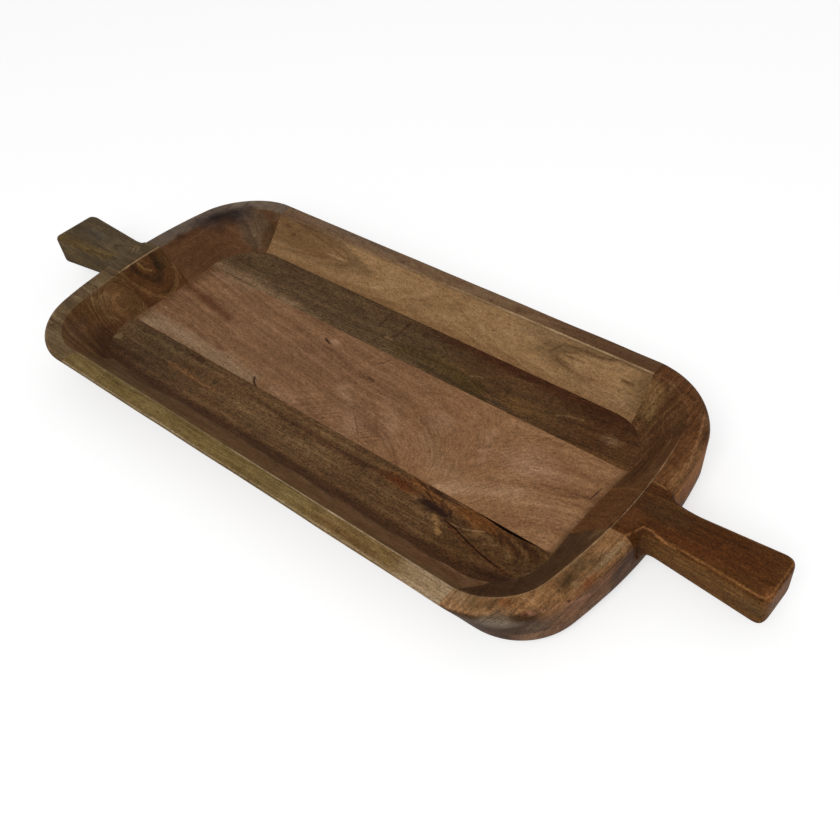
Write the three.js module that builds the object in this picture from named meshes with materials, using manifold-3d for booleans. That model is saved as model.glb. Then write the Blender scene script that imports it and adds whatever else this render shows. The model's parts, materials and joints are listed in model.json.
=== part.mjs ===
// Dough tray: a long, shallow carved tray with a flared handle at each end.
// It is glued up from eleven blanks and then carved as one: three boards make the base panel,
// and two side rails, four corner blocks and two handle blocks stand on it as a frame.
//
// Millimetres, +Z up. X runs along the tray, Y across it, and the origin lies on the flat
// underside, below the middle of the whole length.

import Module from 'manifold-3d';
import * as THREE from 'three';
import { mergeVertices } from 'three/addons/utils/BufferGeometryUtils.js';

const wasm = await Module();
wasm.setup();

// Heights

const HEIGHT = 51;
const BASE_TOP = 20.25; // glue plane between the base panel and the frame
const FLOOR = 18; // the cavity is carved a little way into the base panel

// Horizontal outlines. Each is a rectangle with round corners whose short ends bow outwards by
// bow at the middle, or inwards where bow is negative. halfLength is taken on the centre line.

const RIM = { halfLength: 306, halfWidth: 145.25, corner: 54, bow: 25.5 }; // the widest outline
const FOOT = { corner: 42, bow: 17 }; // the outer wall carried down to the underside
const LIP = { halfLength: 287.5, halfWidth: 130, corner: 40, bow: 19.5 }; // inner edge of the rim
const CAVITY_FOOT = { corner: 52, bow: -8 }; // the cavity where it meets the base panel

// Walls: their lean from upright in degrees, and the radii that finish their edges

const SIDE_WALL = { lean: 27, arris: 2 };
const END_WALL = { lean: 4, arris: 5 };
const HEEL_RADIUS = 16; // outer wall to underside
const CAVITY_LEAN = { side: 42, end: 49.5 };
const COVE_RADIUS = 20; // cavity wall to cavity floor
const LIP_ARRIS = 1.5;

// Handles. The near side is the one towards -Y. Each side leaves the end wall at its shoulder,
// curves in to the neck and then flares to the tip.

const HANDLE_THICKNESS = { neck: 26, tip: 30.5 };
const HANDLE_ARRIS = 5;
const TIP_UNDERCUT = 2; // the end face leans in by this much at its lower edge
const HANDLE_ROOT = 280; // the bar is carried this far in, where the cavity trims it
const RIGHT_HANDLE = {
  end: 1,
  tip: 404,
  near: { shoulder: -19, neck: -13.5, neckAt: 316, tip: -18.5, corner: 8 },
  far: { shoulder: 29, neck: 21.5, neckAt: 332, tip: 25.5, corner: 10 },
};
const LEFT_HANDLE = {
  end: -1,
  tip: 401,
  near: { shoulder: -27, neck: -23.5, neckAt: 316, tip: -30.5, corner: 7.5 },
  far: { shoulder: 19, neck: 15.5, neckAt: 318, tip: 19.5, corner: 10 },
};

// The right-hand handle is the longer one, so the body sits this far off the middle

const BODY_SHIFT = (LEFT_HANDLE.tip - RIGHT_HANDLE.tip) / 2;

// Glue planes between the blanks

const BASE_SEAMS = { near: -46.75, far: 52.25 };
const NEAR_RAIL = { left: -218, right: 230.25 };
const FAR_RAIL = { left: -220.5, right: 224.75 };
const LEFT_BLOCK = { near: -30.75, far: 20 };
const RIGHT_BLOCK = { near: -24.5, far: 29.75 };

// Blanks are sawn a little oversize, and the carving trims them

const ALLOWANCE = 4;
const RAIL_WIDTH = 60;
const HANDLE_BLANK_START = 235;

// Fineness of the curves

const CORNER_STEPS = 12;
const END_STEPS = 12;
const HEEL_STEPS = 6;
const COVE_STEPS = 5;
const ARRIS_STEPS = 3;
const HANDLE_CURVE_STEPS = 6;

const { degToRad, lerp, clamp } = THREE.MathUtils;
const QUARTER_TURN = Math.PI / 2;

/** Points of a horizontal outline at height z, counter-clockwise seen from above. */
function outlineRing({ halfLength, halfWidth, corner, bow }, z) {
  const ring = [];
  const addPoint = (x, y) => {
    const pull = bow * (y / halfWidth) ** 2;
    ring.push(new THREE.Vector3(x - Math.sign(x) * pull, y, z));
  };
  const signs = [[1, 1], [-1, 1], [-1, -1], [1, -1]];
  signs.forEach(([signX, signY], quarter) => {
    const centreX = signX * (halfLength - corner);
    const centreY = signY * (halfWidth - corner);
    for (let step = 0; step <= CORNER_STEPS; step += 1) {
      const angle = QUARTER_TURN * (quarter + step / CORNER_STEPS);
      addPoint(centreX + corner * Math.cos(angle), centreY + corner * Math.sin(angle));
    }
    const leadsIntoAnEnd = quarter % 2 === 1;
    for (let step = 1; leadsIntoAnEnd && step < END_STEPS; step += 1) {
      addPoint(signX * halfLength, centreY * (1 - (2 * step) / END_STEPS));
    }
  });
  return ring;
}

/** A closed skin over rings that are stacked upwards, with a flat cap at each end. */
function loftGeometry(rings) {
  const count = rings[0].length;
  const points = rings.flat();
  const faces = [];
  for (let level = 0; level < rings.length - 1; level += 1) {
    for (let index = 0; index < count; index += 1) {
      const next = (index + 1) % count;
      const low = level * count;
      const high = low + count;
      faces.push(low + index, low + next, high + next);
      faces.push(low + index, high + next, high + index);
    }
  }
  const bottomCentre = points.push(new THREE.Vector3(0, 0, rings[0][0].z)) - 1;
  const topCentre = points.push(new THREE.Vector3(0, 0, rings.at(-1)[0].z)) - 1;
  const lastRing = (rings.length - 1) * count;
  for (let index = 0; index < count; index += 1) {
    const next = (index + 1) % count;
    faces.push(bottomCentre, next, index);
    faces.push(topCentre, lastRing + index, lastRing + next);
  }
  const geometry = new THREE.BufferGeometry().setFromPoints(points);
  geometry.setIndex(faces);
  return geometry;
}

/**
 * How far a leaning wall stands out at height z. The wall passes through half at the height
 * top, and an arc of the given radius carries it onto the flat at the height bottom.
 */
function leaningWall({ half, top, lean, radius, bottom }) {
  const slope = degToRad(lean);
  const straight = (z) => half - (top - z) * Math.tan(slope);
  const arcHeight = bottom + radius;
  const arcCentre = straight(arcHeight) - radius / Math.cos(slope);
  const arcEnd = arcHeight - radius * Math.sin(slope);
  const curved = (z) => arcCentre + Math.sqrt(radius ** 2 - (arcHeight - z) ** 2);
  return { straight, at: (z) => (z < arcEnd ? curved(z) : straight(z)) };
}

/** The outer wall: leaning, with a round heel below and a round arris at the rim. */
function outerWall(widest, { lean, arris }) {
  const slope = degToRad(lean);
  const arrisCentre = widest - arris;
  const arrisHeight = HEIGHT - arris;
  const half = arrisCentre + arris / Math.cos(slope);
  const wall = leaningWall({ half, top: arrisHeight, lean, radius: HEEL_RADIUS, bottom: 0 });
  const arrisStart = arrisHeight - arris * Math.sin(slope);
  const rounded = (z) => arrisCentre + Math.sqrt(arris ** 2 - (z - arrisHeight) ** 2);
  const at = (z) => (z > arrisStart ? rounded(z) : wall.at(z));
  return { at, trim: (z) => wall.straight(z) - at(z) };
}

/** Heights that step evenly round an arc of the given radius and sweep, from its flat end. */
function arcRises(radius, steps, sweep = QUARTER_TURN) {
  const rises = [];
  for (let step = 0; step <= steps; step += 1) {
    rises.push(radius * (1 - Math.cos((sweep * step) / steps)));
  }
  return rises;
}

/** The whole outside of the tray without its handles. */
function bodyGeometry() {
  const side = outerWall(RIM.halfWidth, SIDE_WALL);
  const end = outerWall(RIM.halfLength, END_WALL);
  const heel = arcRises(HEEL_RADIUS, HEEL_STEPS);
  const arris = arcRises(END_WALL.arris, ARRIS_STEPS).map((drop) => HEIGHT - drop);
  const rings = [...heel, ...arris.reverse()].map((z) => {
    const rise = z / HEIGHT;
    const trim = (side.trim(z) + end.trim(z)) / 2;
    const section = {
      halfLength: end.at(z),
      halfWidth: side.at(z),
      corner: lerp(FOOT.corner, RIM.corner, rise) - trim,
      bow: lerp(FOOT.bow, RIM.bow, rise),
    };
    return outlineRing(section, z);
  });
  return loftGeometry(rings);
}

/** The space carved out of the tray, carried up past the rim. */
function cavityGeometry() {
  const shape = { top: HEIGHT, radius: COVE_RADIUS, bottom: FLOOR };
  const side = leaningWall({ ...shape, half: LIP.halfWidth, lean: CAVITY_LEAN.side });
  const end = leaningWall({ ...shape, half: LIP.halfLength, lean: CAVITY_LEAN.end });
  const footWidth = side.at(BASE_TOP);
  const section = (z, spread = 0) => {
    const depth = clamp((HEIGHT - z) / (HEIGHT - BASE_TOP), 0, 1);
    const belowFoot = Math.max(footWidth - side.at(z), 0);
    return {
      halfLength: end.at(z) + spread,
      halfWidth: side.at(z) + spread,
      corner: lerp(LIP.corner, CAVITY_FOOT.corner, depth) - belowFoot + spread,
      bow: lerp(LIP.bow, CAVITY_FOOT.bow, depth),
    };
  };
  const coveSweep = QUARTER_TURN - degToRad(CAVITY_LEAN.side);
  const cove = arcRises(COVE_RADIUS, COVE_STEPS, coveSweep).map((rise) => FLOOR + rise);
  const rings = cove.map((z) => outlineRing(section(z), z));
  rings.push(outlineRing(section(HEIGHT - LIP_ARRIS), HEIGHT - LIP_ARRIS));
  rings.push(outlineRing(section(HEIGHT, LIP_ARRIS), HEIGHT));
  rings.push(outlineRing(section(HEIGHT, LIP_ARRIS), HEIGHT + ALLOWANCE));
  return loftGeometry(rings);
}

/**
 * A handle bar, flush with the top of the rim: its plan is extruded, its edges are rounded,
 * it grows thicker towards the tip, and its end face is undercut.
 */
function handleGeometry({ end, tip, near, far }) {
  const wall = RIM.halfLength;
  const plan = new THREE.Shape();
  plan.moveTo(end * HANDLE_ROOT, near.shoulder);
  plan.lineTo(end * wall, near.shoulder);
  plan.quadraticCurveTo(end * wall, near.neck, end * near.neckAt, near.neck);
  plan.lineTo(end * (tip - near.corner), near.tip);
  plan.quadraticCurveTo(end * tip, near.tip, end * tip, near.tip + near.corner);
  plan.lineTo(end * tip, far.tip - far.corner);
  plan.quadraticCurveTo(end * tip, far.tip, end * (tip - far.corner), far.tip);
  plan.lineTo(end * far.neckAt, far.neck);
  plan.quadraticCurveTo(end * wall, far.neck, end * wall, far.shoulder);
  plan.lineTo(end * HANDLE_ROOT, far.shoulder);
  plan.closePath();
  const geometry = new THREE.ExtrudeGeometry(plan, {
    depth: HANDLE_THICKNESS.neck - 2 * HANDLE_ARRIS,
    curveSegments: HANDLE_CURVE_STEPS,
    bevelThickness: HANDLE_ARRIS,
    bevelSize: HANDLE_ARRIS,
    bevelOffset: -HANDLE_ARRIS,
    bevelSegments: ARRIS_STEPS,
  });
  geometry.translate(0, 0, HEIGHT - HANDLE_THICKNESS.neck + HANDLE_ARRIS);
  const position = geometry.attributes.position;
  for (let index = 0; index < position.count; index += 1) {
    const outward = clamp((end * position.getX(index) - wall) / (tip - wall), 0, 1);
    const thickness = lerp(HANDLE_THICKNESS.neck, HANDLE_THICKNESS.tip, outward);
    const depth = (HEIGHT - position.getZ(index)) / HANDLE_THICKNESS.neck;
    position.setX(index, position.getX(index) - end * outward * depth * TIP_UNDERCUT);
    position.setZ(index, HEIGHT - depth * thickness);
  }
  return geometry;
}

/** A sawn blank that fills the box between two corners. */
function blankGeometry({ x, y, z }) {
  const low = new THREE.Vector3(x[0], y[0], z[0]);
  const high = new THREE.Vector3(x[1], y[1], z[1]);
  const size = high.clone().sub(low);
  const centre = low.clone().add(high).divideScalar(2);
  return new THREE.BoxGeometry(...size).translate(...centre);
}

function toSolid(geometry) {
  const bare = geometry.clone();
  bare.deleteAttribute('normal');
  bare.deleteAttribute('uv');
  const closed = mergeVertices(bare);
  const vertProperties = new Float32Array(closed.attributes.position.array);
  const triVerts = new Uint32Array(closed.index.array);
  return new wasm.Manifold(new wasm.Mesh({ numProp: 3, vertProperties, triVerts }));
}

function toGeometry(solid) {
  const { vertProperties, triVerts } = solid.getMesh();
  const geometry = new THREE.BufferGeometry();
  geometry.setAttribute('position', new THREE.BufferAttribute(vertProperties, 3));
  geometry.setIndex(new THREE.BufferAttribute(triVerts, 1));
  geometry.computeVertexNormals();
  return geometry;
}

// The glued-up tray as one carved form: the body and both handle bars, less the cavity

const carved = toSolid(bodyGeometry())
  .add(toSolid(handleGeometry(LEFT_HANDLE)))
  .add(toSolid(handleGeometry(RIGHT_HANDLE)))
  .subtract(toSolid(cavityGeometry()));

// The eleven blanks, each with the colour of its own wood

const END = RIM.halfLength + ALLOWANCE;
const SIDE = RIM.halfWidth + ALLOWANCE;
const RAIL_INNER = RIM.halfWidth - RAIL_WIDTH;
const BASE_HEIGHTS = [0, BASE_TOP];
const FRAME_HEIGHTS = [BASE_TOP, HEIGHT + ALLOWANCE];
const LEFT_TIP = -LEFT_HANDLE.tip - ALLOWANCE;
const RIGHT_TIP = RIGHT_HANDLE.tip + ALLOWANCE;

const BASE_BLANKS = {
  base_board_near: { y: [-SIDE, BASE_SEAMS.near], colour: 0x5a4530 },
  base_board_centre: { y: [BASE_SEAMS.near, BASE_SEAMS.far], colour: 0x80604a },
  base_board_far: { y: [BASE_SEAMS.far, SIDE], colour: 0x4d3a29 },
};

const FRAME_BLANKS = {
  side_rail_near: {
    x: [NEAR_RAIL.left, NEAR_RAIL.right],
    y: [-SIDE, -RAIL_INNER],
    colour: 0x7a6338,
  },
  side_rail_far: {
    x: [FAR_RAIL.left, FAR_RAIL.right],
    y: [RAIL_INNER, SIDE],
    colour: 0x8a6c49,
  },
  corner_block_near_left: {
    x: [-END, NEAR_RAIL.left],
    y: [-SIDE, LEFT_BLOCK.near],
    colour: 0x6a5236,
  },
  corner_block_far_left: {
    x: [-END, FAR_RAIL.left],
    y: [LEFT_BLOCK.far, SIDE],
    colour: 0x6b4a32,
  },
  corner_block_near_right: {
    x: [NEAR_RAIL.right, END],
    y: [-SIDE, RIGHT_BLOCK.near],
    colour: 0x83623f,
  },
  corner_block_far_right: {
    x: [FAR_RAIL.right, END],
    y: [RIGHT_BLOCK.far, SIDE],
    colour: 0x6e4a2f,
  },
  handle_left: {
    x: [LEFT_TIP, -HANDLE_BLANK_START],
    y: [LEFT_BLOCK.near, LEFT_BLOCK.far],
    colour: 0x6d6145,
  },
  handle_right: {
    x: [HANDLE_BLANK_START, RIGHT_TIP],
    y: [RIGHT_BLOCK.near, RIGHT_BLOCK.far],
    colour: 0x5c3a20,
  },
};

const WOOD_ROUGHNESS = 0.5;

function pieceMesh(name, { x, y, z, colour }) {
  const geometry = toGeometry(carved.intersect(toSolid(blankGeometry({ x, y, z }))));
  const material = new THREE.MeshStandardMaterial({
    color: colour,
    roughness: WOOD_ROUGHNESS,
    metalness: 0,
  });
  const mesh = new THREE.Mesh(geometry, material);
  mesh.name = name;
  return mesh;
}

const tray = new THREE.Group();
tray.position.x = BODY_SHIFT;
for (const [name, blank] of Object.entries(BASE_BLANKS)) {
  tray.add(pieceMesh(name, { ...blank, x: [-END, END], z: BASE_HEIGHTS }));
}
for (const [name, blank] of Object.entries(FRAME_BLANKS)) {
  tray.add(pieceMesh(name, { ...blank, z: FRAME_HEIGHTS }));
}

export default tray;
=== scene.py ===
# %% [markdown]
# # A carved dough tray
#
# The real object is a long shallow tray glued up from eleven blanks of hardwood and carved as one.
# This lesson dresses the measured model of it. The measured model stays the authority on size, so
# the first thing to do is to load it.

# %% Load the measured model
import json
import math

import bmesh
import bpy
from mathutils import Matrix, Vector

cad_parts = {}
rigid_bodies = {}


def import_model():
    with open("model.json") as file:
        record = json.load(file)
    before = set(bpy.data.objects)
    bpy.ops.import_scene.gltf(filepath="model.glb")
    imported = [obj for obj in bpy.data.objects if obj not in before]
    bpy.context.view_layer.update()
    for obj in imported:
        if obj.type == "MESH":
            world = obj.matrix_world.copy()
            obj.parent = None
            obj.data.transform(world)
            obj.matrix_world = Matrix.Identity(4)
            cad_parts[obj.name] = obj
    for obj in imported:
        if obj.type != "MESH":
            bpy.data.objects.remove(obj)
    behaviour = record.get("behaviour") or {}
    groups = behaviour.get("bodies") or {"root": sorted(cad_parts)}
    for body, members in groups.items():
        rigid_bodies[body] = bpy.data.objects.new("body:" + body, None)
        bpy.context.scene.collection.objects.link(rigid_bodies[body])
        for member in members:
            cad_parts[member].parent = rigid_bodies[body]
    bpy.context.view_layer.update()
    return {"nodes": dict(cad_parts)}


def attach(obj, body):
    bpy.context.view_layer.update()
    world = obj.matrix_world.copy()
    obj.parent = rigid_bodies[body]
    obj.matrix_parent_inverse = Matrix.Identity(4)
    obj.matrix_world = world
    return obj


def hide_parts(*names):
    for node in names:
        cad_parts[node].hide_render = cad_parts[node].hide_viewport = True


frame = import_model()
print("pieces in the measured model:", sorted(frame["nodes"]))

# %% [markdown]
# ## Formulas as nodes
#
# The carved form and its wood both follow rules, and Blender holds rules as nodes. Wiring hundreds
# of nodes by hand hides the rule, so these helpers let a formula be written as one: a Field is a
# value on a node link, and adding or multiplying fields adds the maths nodes to their tree. The
# same helpers serve Geometry Nodes and materials, because both kinds of tree share these nodes.

# %% Nodes from plain calls
def join(tree, socket, value):
    """Feed a socket from a field, or set it to a plain value."""
    if isinstance(value, Field):
        tree.links.new(value.socket, socket)
    elif socket.type == "RGBA" and len(value) == 3:
        socket.default_value = (*value, 1.0)
    else:
        socket.default_value = value


def node(tree, kind, inputs=None, **settings):
    """A new node with its settings and inputs. Inputs are keyed by socket name or number."""
    made = tree.nodes.new(kind)
    for name, value in settings.items():
        setattr(made, name, value)
    for key, value in (inputs or {}).items():
        join(tree, made.inputs[key], value)
    return made


print("nodes can be made with", join.__name__, "and", node.__name__)


# %% A value on a node link
class Field:
    """A number or a vector on a node link."""

    def __init__(self, socket):
        self.socket = socket
        self.tree = socket.id_data

    def is_vector(self):
        return self.socket.type in ("VECTOR", "RGBA")

    def combine(self, operation, *others):
        values = (self, *others)
        kind = "ShaderNodeVectorMath" if self.is_vector() else "ShaderNodeMath"
        made = node(self.tree, kind, dict(enumerate(values)), operation=operation)
        return Field(made.outputs[0])

    def __add__(self, other):
        return self.combine("ADD", other)

    def __radd__(self, other):
        return self.combine("ADD", other)

    def __sub__(self, other):
        return self.combine("SUBTRACT", other)

    def __rsub__(self, other):
        return self * -1 + other

    def __mul__(self, other):
        if self.is_vector() and not isinstance(other, tuple):
            inputs = {0: self, "Scale": other}
            made = node(self.tree, "ShaderNodeVectorMath", inputs, operation="SCALE")
            return Field(made.outputs[0])
        return self.combine("MULTIPLY", other)

    def __rmul__(self, other):
        return self * other

    def __truediv__(self, other):
        return self.combine("DIVIDE", other)

    def __pow__(self, other):
        return self.combine("POWER", float(other))

    def length(self):
        made = node(self.tree, "ShaderNodeVectorMath", {0: self}, operation="LENGTH")
        return Field(made.outputs["Value"])

    def dot(self, other):
        made = node(self.tree, "ShaderNodeVectorMath", {0: self, 1: other}, operation="DOT_PRODUCT")
        return Field(made.outputs["Value"])

    def axis(self, name):
        made = node(self.tree, "ShaderNodeSeparateXYZ", {0: self})
        return Field(made.outputs[name])


print("fields can be added, multiplied, raised to a power and measured")


# %% Formulas on fields
def sine(angle):
    return angle.combine("SINE")


def cosine(angle):
    return angle.combine("COSINE")


def tangent(angle):
    return angle.combine("TANGENT")


def root(value):
    return value.combine("SQRT")


def ramp(value, low, high, start=0.0, stop=1.0, soft=False):
    """start below low, stop above high, and a straight or soft change between them."""
    inputs = {"Value": value, "From Min": low, "From Max": high, "To Min": start, "To Max": stop}
    kind = "SMOOTHSTEP" if soft else "LINEAR"
    made = node(value.tree, "ShaderNodeMapRange", inputs, interpolation_type=kind, clamp=True)
    return Field(made.outputs["Result"])


def mixed(share, first, second):
    """first where share is 0, second where it is 1."""
    return share * (second - first) + first


def choose(condition, when_true, when_false):
    return mixed(condition, when_false, when_true)


def vector(tree, x, y, z):
    return Field(node(tree, "ShaderNodeCombineXYZ", {"X": x, "Y": y, "Z": z}).outputs[0])


print("formulas ready:", ", ".join(rule.__name__ for rule in (sine, cosine, root, ramp, mixed)))

# %% [markdown]
# ## The rule behind every outline
#
# Seen from above, the rim, the lip and the foot of the cavity are all the same kind of curve: a
# rectangle with round corners whose short ends bow. A handle bar has that curve as its section.
# So one function gives the point at a turn from 0 to 8, where even stretches are the four sides
# and odd ones the four corners, and everything else is a stack of such curves.

# %% One outline point
STRETCHES = 8
QUARTER_TURN = math.pi / 2


def outline_point(turn, half_length, half_width, corner, bow):
    """The point of a rounded rectangle at turn, with its short ends bowed."""
    done = [ramp(turn, start, start + 1.0) for start in range(STRETCHES)]
    across = done[0] * 2 - done[4] * 2 - 1
    along = done[6] * 2 - done[2] * 2 + 1
    angle = (done[1] + done[3] + done[5] + done[7]) * QUARTER_TURN
    x = along * (half_length - corner) + cosine(angle) * corner
    y = across * (half_width - corner) + sine(angle) * corner
    straight = half_length - corner
    side = ramp(x, straight * -1, straight, -1.0, 1.0)
    return x - side * (y / half_width) ** 2 * bow, y


print("an outline has four sides and four corners, so its turn goes from 0 to", STRETCHES)

# %% [markdown]
# A skin is a flat grid of faces bent into place: its first direction runs round the outline and
# its second climbs from level to level, and the two ends shrink to a point so that it is closed.
# A hand tool never follows the rule quite exactly, so a slow noise takes off a little more in
# some places than in others, and never puts any on.

# %% A closed skin, cut by hand
MERGE_DISTANCE = 0.001  # closes the seam and the two ends, in millimetres
TOOL_REACH = (60.0, 60.0, 26.0)  # how far apart the tool's high and low places lie
TOOL_BITE = (0.35, 0.68)  # the noise values where the tool takes off nothing and most


def closed_skin(tree, points, levels, place):
    """A skin of quads over levels of closed curves. Its first and last levels shrink to a point."""
    size = {"Size X": 1.0, "Size Y": 1.0, "Vertices X": points + 1, "Vertices Y": levels + 1}
    grid = node(tree, "GeometryNodeMeshGrid", size)
    here = Field(node(tree, "GeometryNodeInputPosition").outputs[0])
    turn = (here.axis("X") + 0.5) * STRETCHES
    level = (here.axis("Y") + 0.5) * levels
    placed = {"Geometry": Field(grid.outputs["Mesh"]), "Position": place(turn, level)}
    skin = node(tree, "GeometryNodeSetPosition", placed)
    merged = {"Geometry": Field(skin.outputs[0]), "Distance": MERGE_DISTANCE}
    return Field(node(tree, "GeometryNodeMergeByDistance", merged).outputs[0])


def hand_cut(tree, x, y, z, amount):
    """How much further in than the rule a hand tool went here, from 0 to amount."""
    spot = vector(tree, x, y, z) / TOOL_REACH
    noise = node(tree, "ShaderNodeTexNoise", {"Vector": spot, "Scale": 1.0, "Detail": 1.0})
    return ramp(Field(noise.outputs[0]), *TOOL_BITE) * amount


def shrink_at_ends(level, levels):
    return ramp(level, 0.0, 1.0) * ramp(level, levels - 1.0, float(levels), 1.0, 0.0)


print("skins are closed by shrinking their first and last levels")

# %% [markdown]
# ## The walls
#
# A tray carved with a gouge has leaning walls that run into the flat through an arc. The formula
# is the same for the outside, where the arc is the round heel, and for the inside, where it is the
# cove: straight above the arc, circular below. The rim's outer edge is rounded over as well.

# %% Wall formulas
def leaning_wall(z, half, top, slope, radius, bottom):
    """How far a leaning wall stands out at height z. It passes through half at the height top."""
    arc_height = radius + bottom
    arc_centre = half - (top - arc_height) * tangent(slope) - radius / cosine(slope)
    arc_end = arc_height - radius * sine(slope)
    straight = half - (top - z) * tangent(slope)
    curved = root(radius**2 - (arc_height - z) ** 2) + arc_centre
    return choose(z.combine("GREATER_THAN", arc_end), straight, curved)


def outer_wall(z, height, widest, slope, arris, heel):
    """The outer wall with its round heel and its round arris."""
    centre = widest - arris
    shoulder = height - arris
    wall = leaning_wall(z, centre + arris / cosine(slope), shoulder, slope, heel, 0.0)
    rounded = root(arris**2 - (z - shoulder) ** 2) + centre
    return choose(z.combine("GREATER_THAN", shoulder - arris * sine(slope)), rounded, wall)


print("walls lean above an arc and end in a round arris")

# %% [markdown]
# ## The carved form as a Geometry Nodes tree
#
# The bowl could be modelled by pushing points about, but it is all rule, so a node tree makes it:
# an outer skin, two handle bars that flare from the end walls, and the cavity taken away from
# them. Each size is a named input of the tree, so the form can be tried at other sizes by hand.

# %% Sizes in millimetres and degrees
MM = 0.001
HEIGHT = 51.0
GLUE_PLANE = 20.25
BODY_SHIFT = -1.5  # the body sits this far off the middle, as the right handle is longer
BODY = {
    "Height": HEIGHT,
    "Half length": 306.0,
    "Half width": 145.15,
    "Corner at rim": 54.0,
    "Corner at foot": 42.0,
    "Bow at rim": 25.5,
    "Bow at foot": 17.0,
    "Side slope": math.radians(27.0),
    "End slope": math.radians(4.0),
    "Side arris": 2.5,
    "Left arris": 2.5,
    "Right arris": 10.0,
    "Heel": 16.0,
    "Hand": 0.4,
}
CAVITY = {
    "Height": HEIGHT,
    "Floor": 18.0,
    "Glue plane": GLUE_PLANE,
    "Half length": 287.5,
    "Half width": 130.0,
    "Corner at lip": 40.0,
    "Corner at foot": 52.0,
    "Bow at lip": 19.5,
    "Bow at foot": -8.0,
    "Side slope": math.radians(42.0),
    "End slope": math.radians(49.5),
    "Cove": 20.0,
    "Lip arris": 3.0,
}
BAR = {"Height": HEIGHT, "Wall": 306.0, "Neck thickness": 26.0, "Tip thickness": 30.5}
BAR |= {"Arris": 4.0, "Undercut": 2.0, "Root": 280.0, "Fillet": 4.5}
RIGHT_BAR = BAR | {
    "End": 1.0,
    "Tip": 403.87,
    "Near shoulder": -19.0,
    "Near neck": -13.5,
    "Near neck at": 316.0,
    "Near tip": -18.5,
    "Near corner": 8.0,
    "Far shoulder": 29.0,
    "Far neck": 21.5,
    "Far neck at": 332.0,
    "Far tip": 25.5,
    "Far corner": 10.0,
}
LEFT_BAR = BAR | {
    "End": -1.0,
    "Tip": 400.87,
    "Near shoulder": -27.0,
    "Near neck": -23.5,
    "Near neck at": 316.0,
    "Near tip": -30.5,
    "Near corner": 7.5,
    "Far shoulder": 19.0,
    "Far neck": 15.5,
    "Far neck at": 318.0,
    "Far tip": 19.5,
    "Far corner": 10.0,
}
print("body", BODY["Half length"] * 2, "by", BODY["Half width"] * 2, "by", HEIGHT, "mm")

# %% [markdown]
# Every form below gets a tree of its own, whose inputs carry the names of its sizes. A tree can
# then be used as one node in another, as a joiner uses one template for two handles.

# %% Trees with named inputs
def new_tree(name, sizes, skin):
    """A Geometry Nodes tree with one named input per size. skin gives its geometry from them."""
    tree = bpy.data.node_groups.new(name, "GeometryNodeTree")
    tree.interface.new_socket(name="Geometry", in_out="OUTPUT", socket_type="NodeSocketGeometry")
    for size in sizes:
        tree.interface.new_socket(name=size, in_out="INPUT", socket_type="NodeSocketFloat")
    source = tree.nodes.new("NodeGroupInput")
    fields = {size: Field(source.outputs[size]) for size in sizes}
    sink = tree.nodes.new("NodeGroupOutput")
    join(tree, sink.inputs["Geometry"], skin(tree, fields))
    return tree


def grouped(tree, group, sizes):
    """A node that runs another tree at these sizes."""
    return Field(node(tree, "GeometryNodeGroup", sizes, node_tree=group).outputs["Geometry"])


print("inputs for the body:", ", ".join(BODY))

# %% [markdown]
# ## The outer skin
#
# From the table up, the outside is a round heel, a wall that leans out and a rounded arris. The
# sides lean far more than the ends, and the right-hand end is rounded over much more softly than
# the left one, where the rim still shows the edge that the saw left. A lofted surface would do as
# well, but here the same grid gets its whole place from the formulas.

# %% The outer skin of the body
AROUND = 320
HEEL_LEVELS = 12
WALL_LEVELS = 4
ARRIS_LEVELS = 10


def body_skin(tree, size):
    levels = HEEL_LEVELS + WALL_LEVELS + ARRIS_LEVELS + 2
    wall_start = 1.0 + HEEL_LEVELS
    arris_start = wall_start + WALL_LEVELS

    def place(turn, level):
        height, heel_radius = size["Height"], size["Heel"]
        heel = ramp(level, 1.0, wall_start)
        wall = ramp(level, wall_start, arris_start)
        arris = ramp(level, arris_start, levels - 1.0)
        straight = height - size["Right arris"] - heel_radius
        z = (1 - cosine(heel * QUARTER_TURN)) * heel_radius + wall * straight
        z = z + sine(arris * QUARTER_TURN) * size["Right arris"]
        rise = z / height
        rightness = ramp(turn, 2.0, 3.0, 1.0, 0.0) + ramp(turn, 6.0, 7.0)
        end_arris = mixed(rightness, size["Left arris"], size["Right arris"])
        half_length = outer_wall(
            z, height, size["Half length"], size["End slope"], end_arris, heel_radius
        )
        half_width = outer_wall(
            z, height, size["Half width"], size["Side slope"], size["Side arris"], heel_radius
        )
        heel_pull = (1 - sine(heel * QUARTER_TURN)) * heel_radius
        corner = mixed(rise, size["Corner at foot"], size["Corner at rim"]) - heel_pull
        bow = mixed(rise, size["Bow at foot"], size["Bow at rim"])
        x, y = outline_point(turn, half_length, half_width, corner, bow)
        cut = hand_cut(tree, x, y, z, size["Hand"])
        x, y = x * (1 - cut / half_length), y * (1 - cut / half_width)
        shrink = shrink_at_ends(level, levels)
        return vector(tree, x * shrink, y * shrink, z)

    return closed_skin(tree, AROUND, levels, place)


print("outer skin:", AROUND, "points round each of its levels")

# %% [markdown]
# ## The cavity
#
# The hollow is made as a solid of its own, the shape of the wood that the carver took out. It
# starts at the flat, turns through the cove into the leaning wall and rounds over at the lip. Its
# ends bow outwards at the lip and slightly inwards at the flat, which is what gives the corners
# of the real tray their scooped look.

# %% The cavity
COVE_LEVELS = 12
CAVITY_WALL_LEVELS = 4
LIP_LEVELS = 6
CLEARANCE = 4.0  # the cutting form goes on this far above the rim


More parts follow.
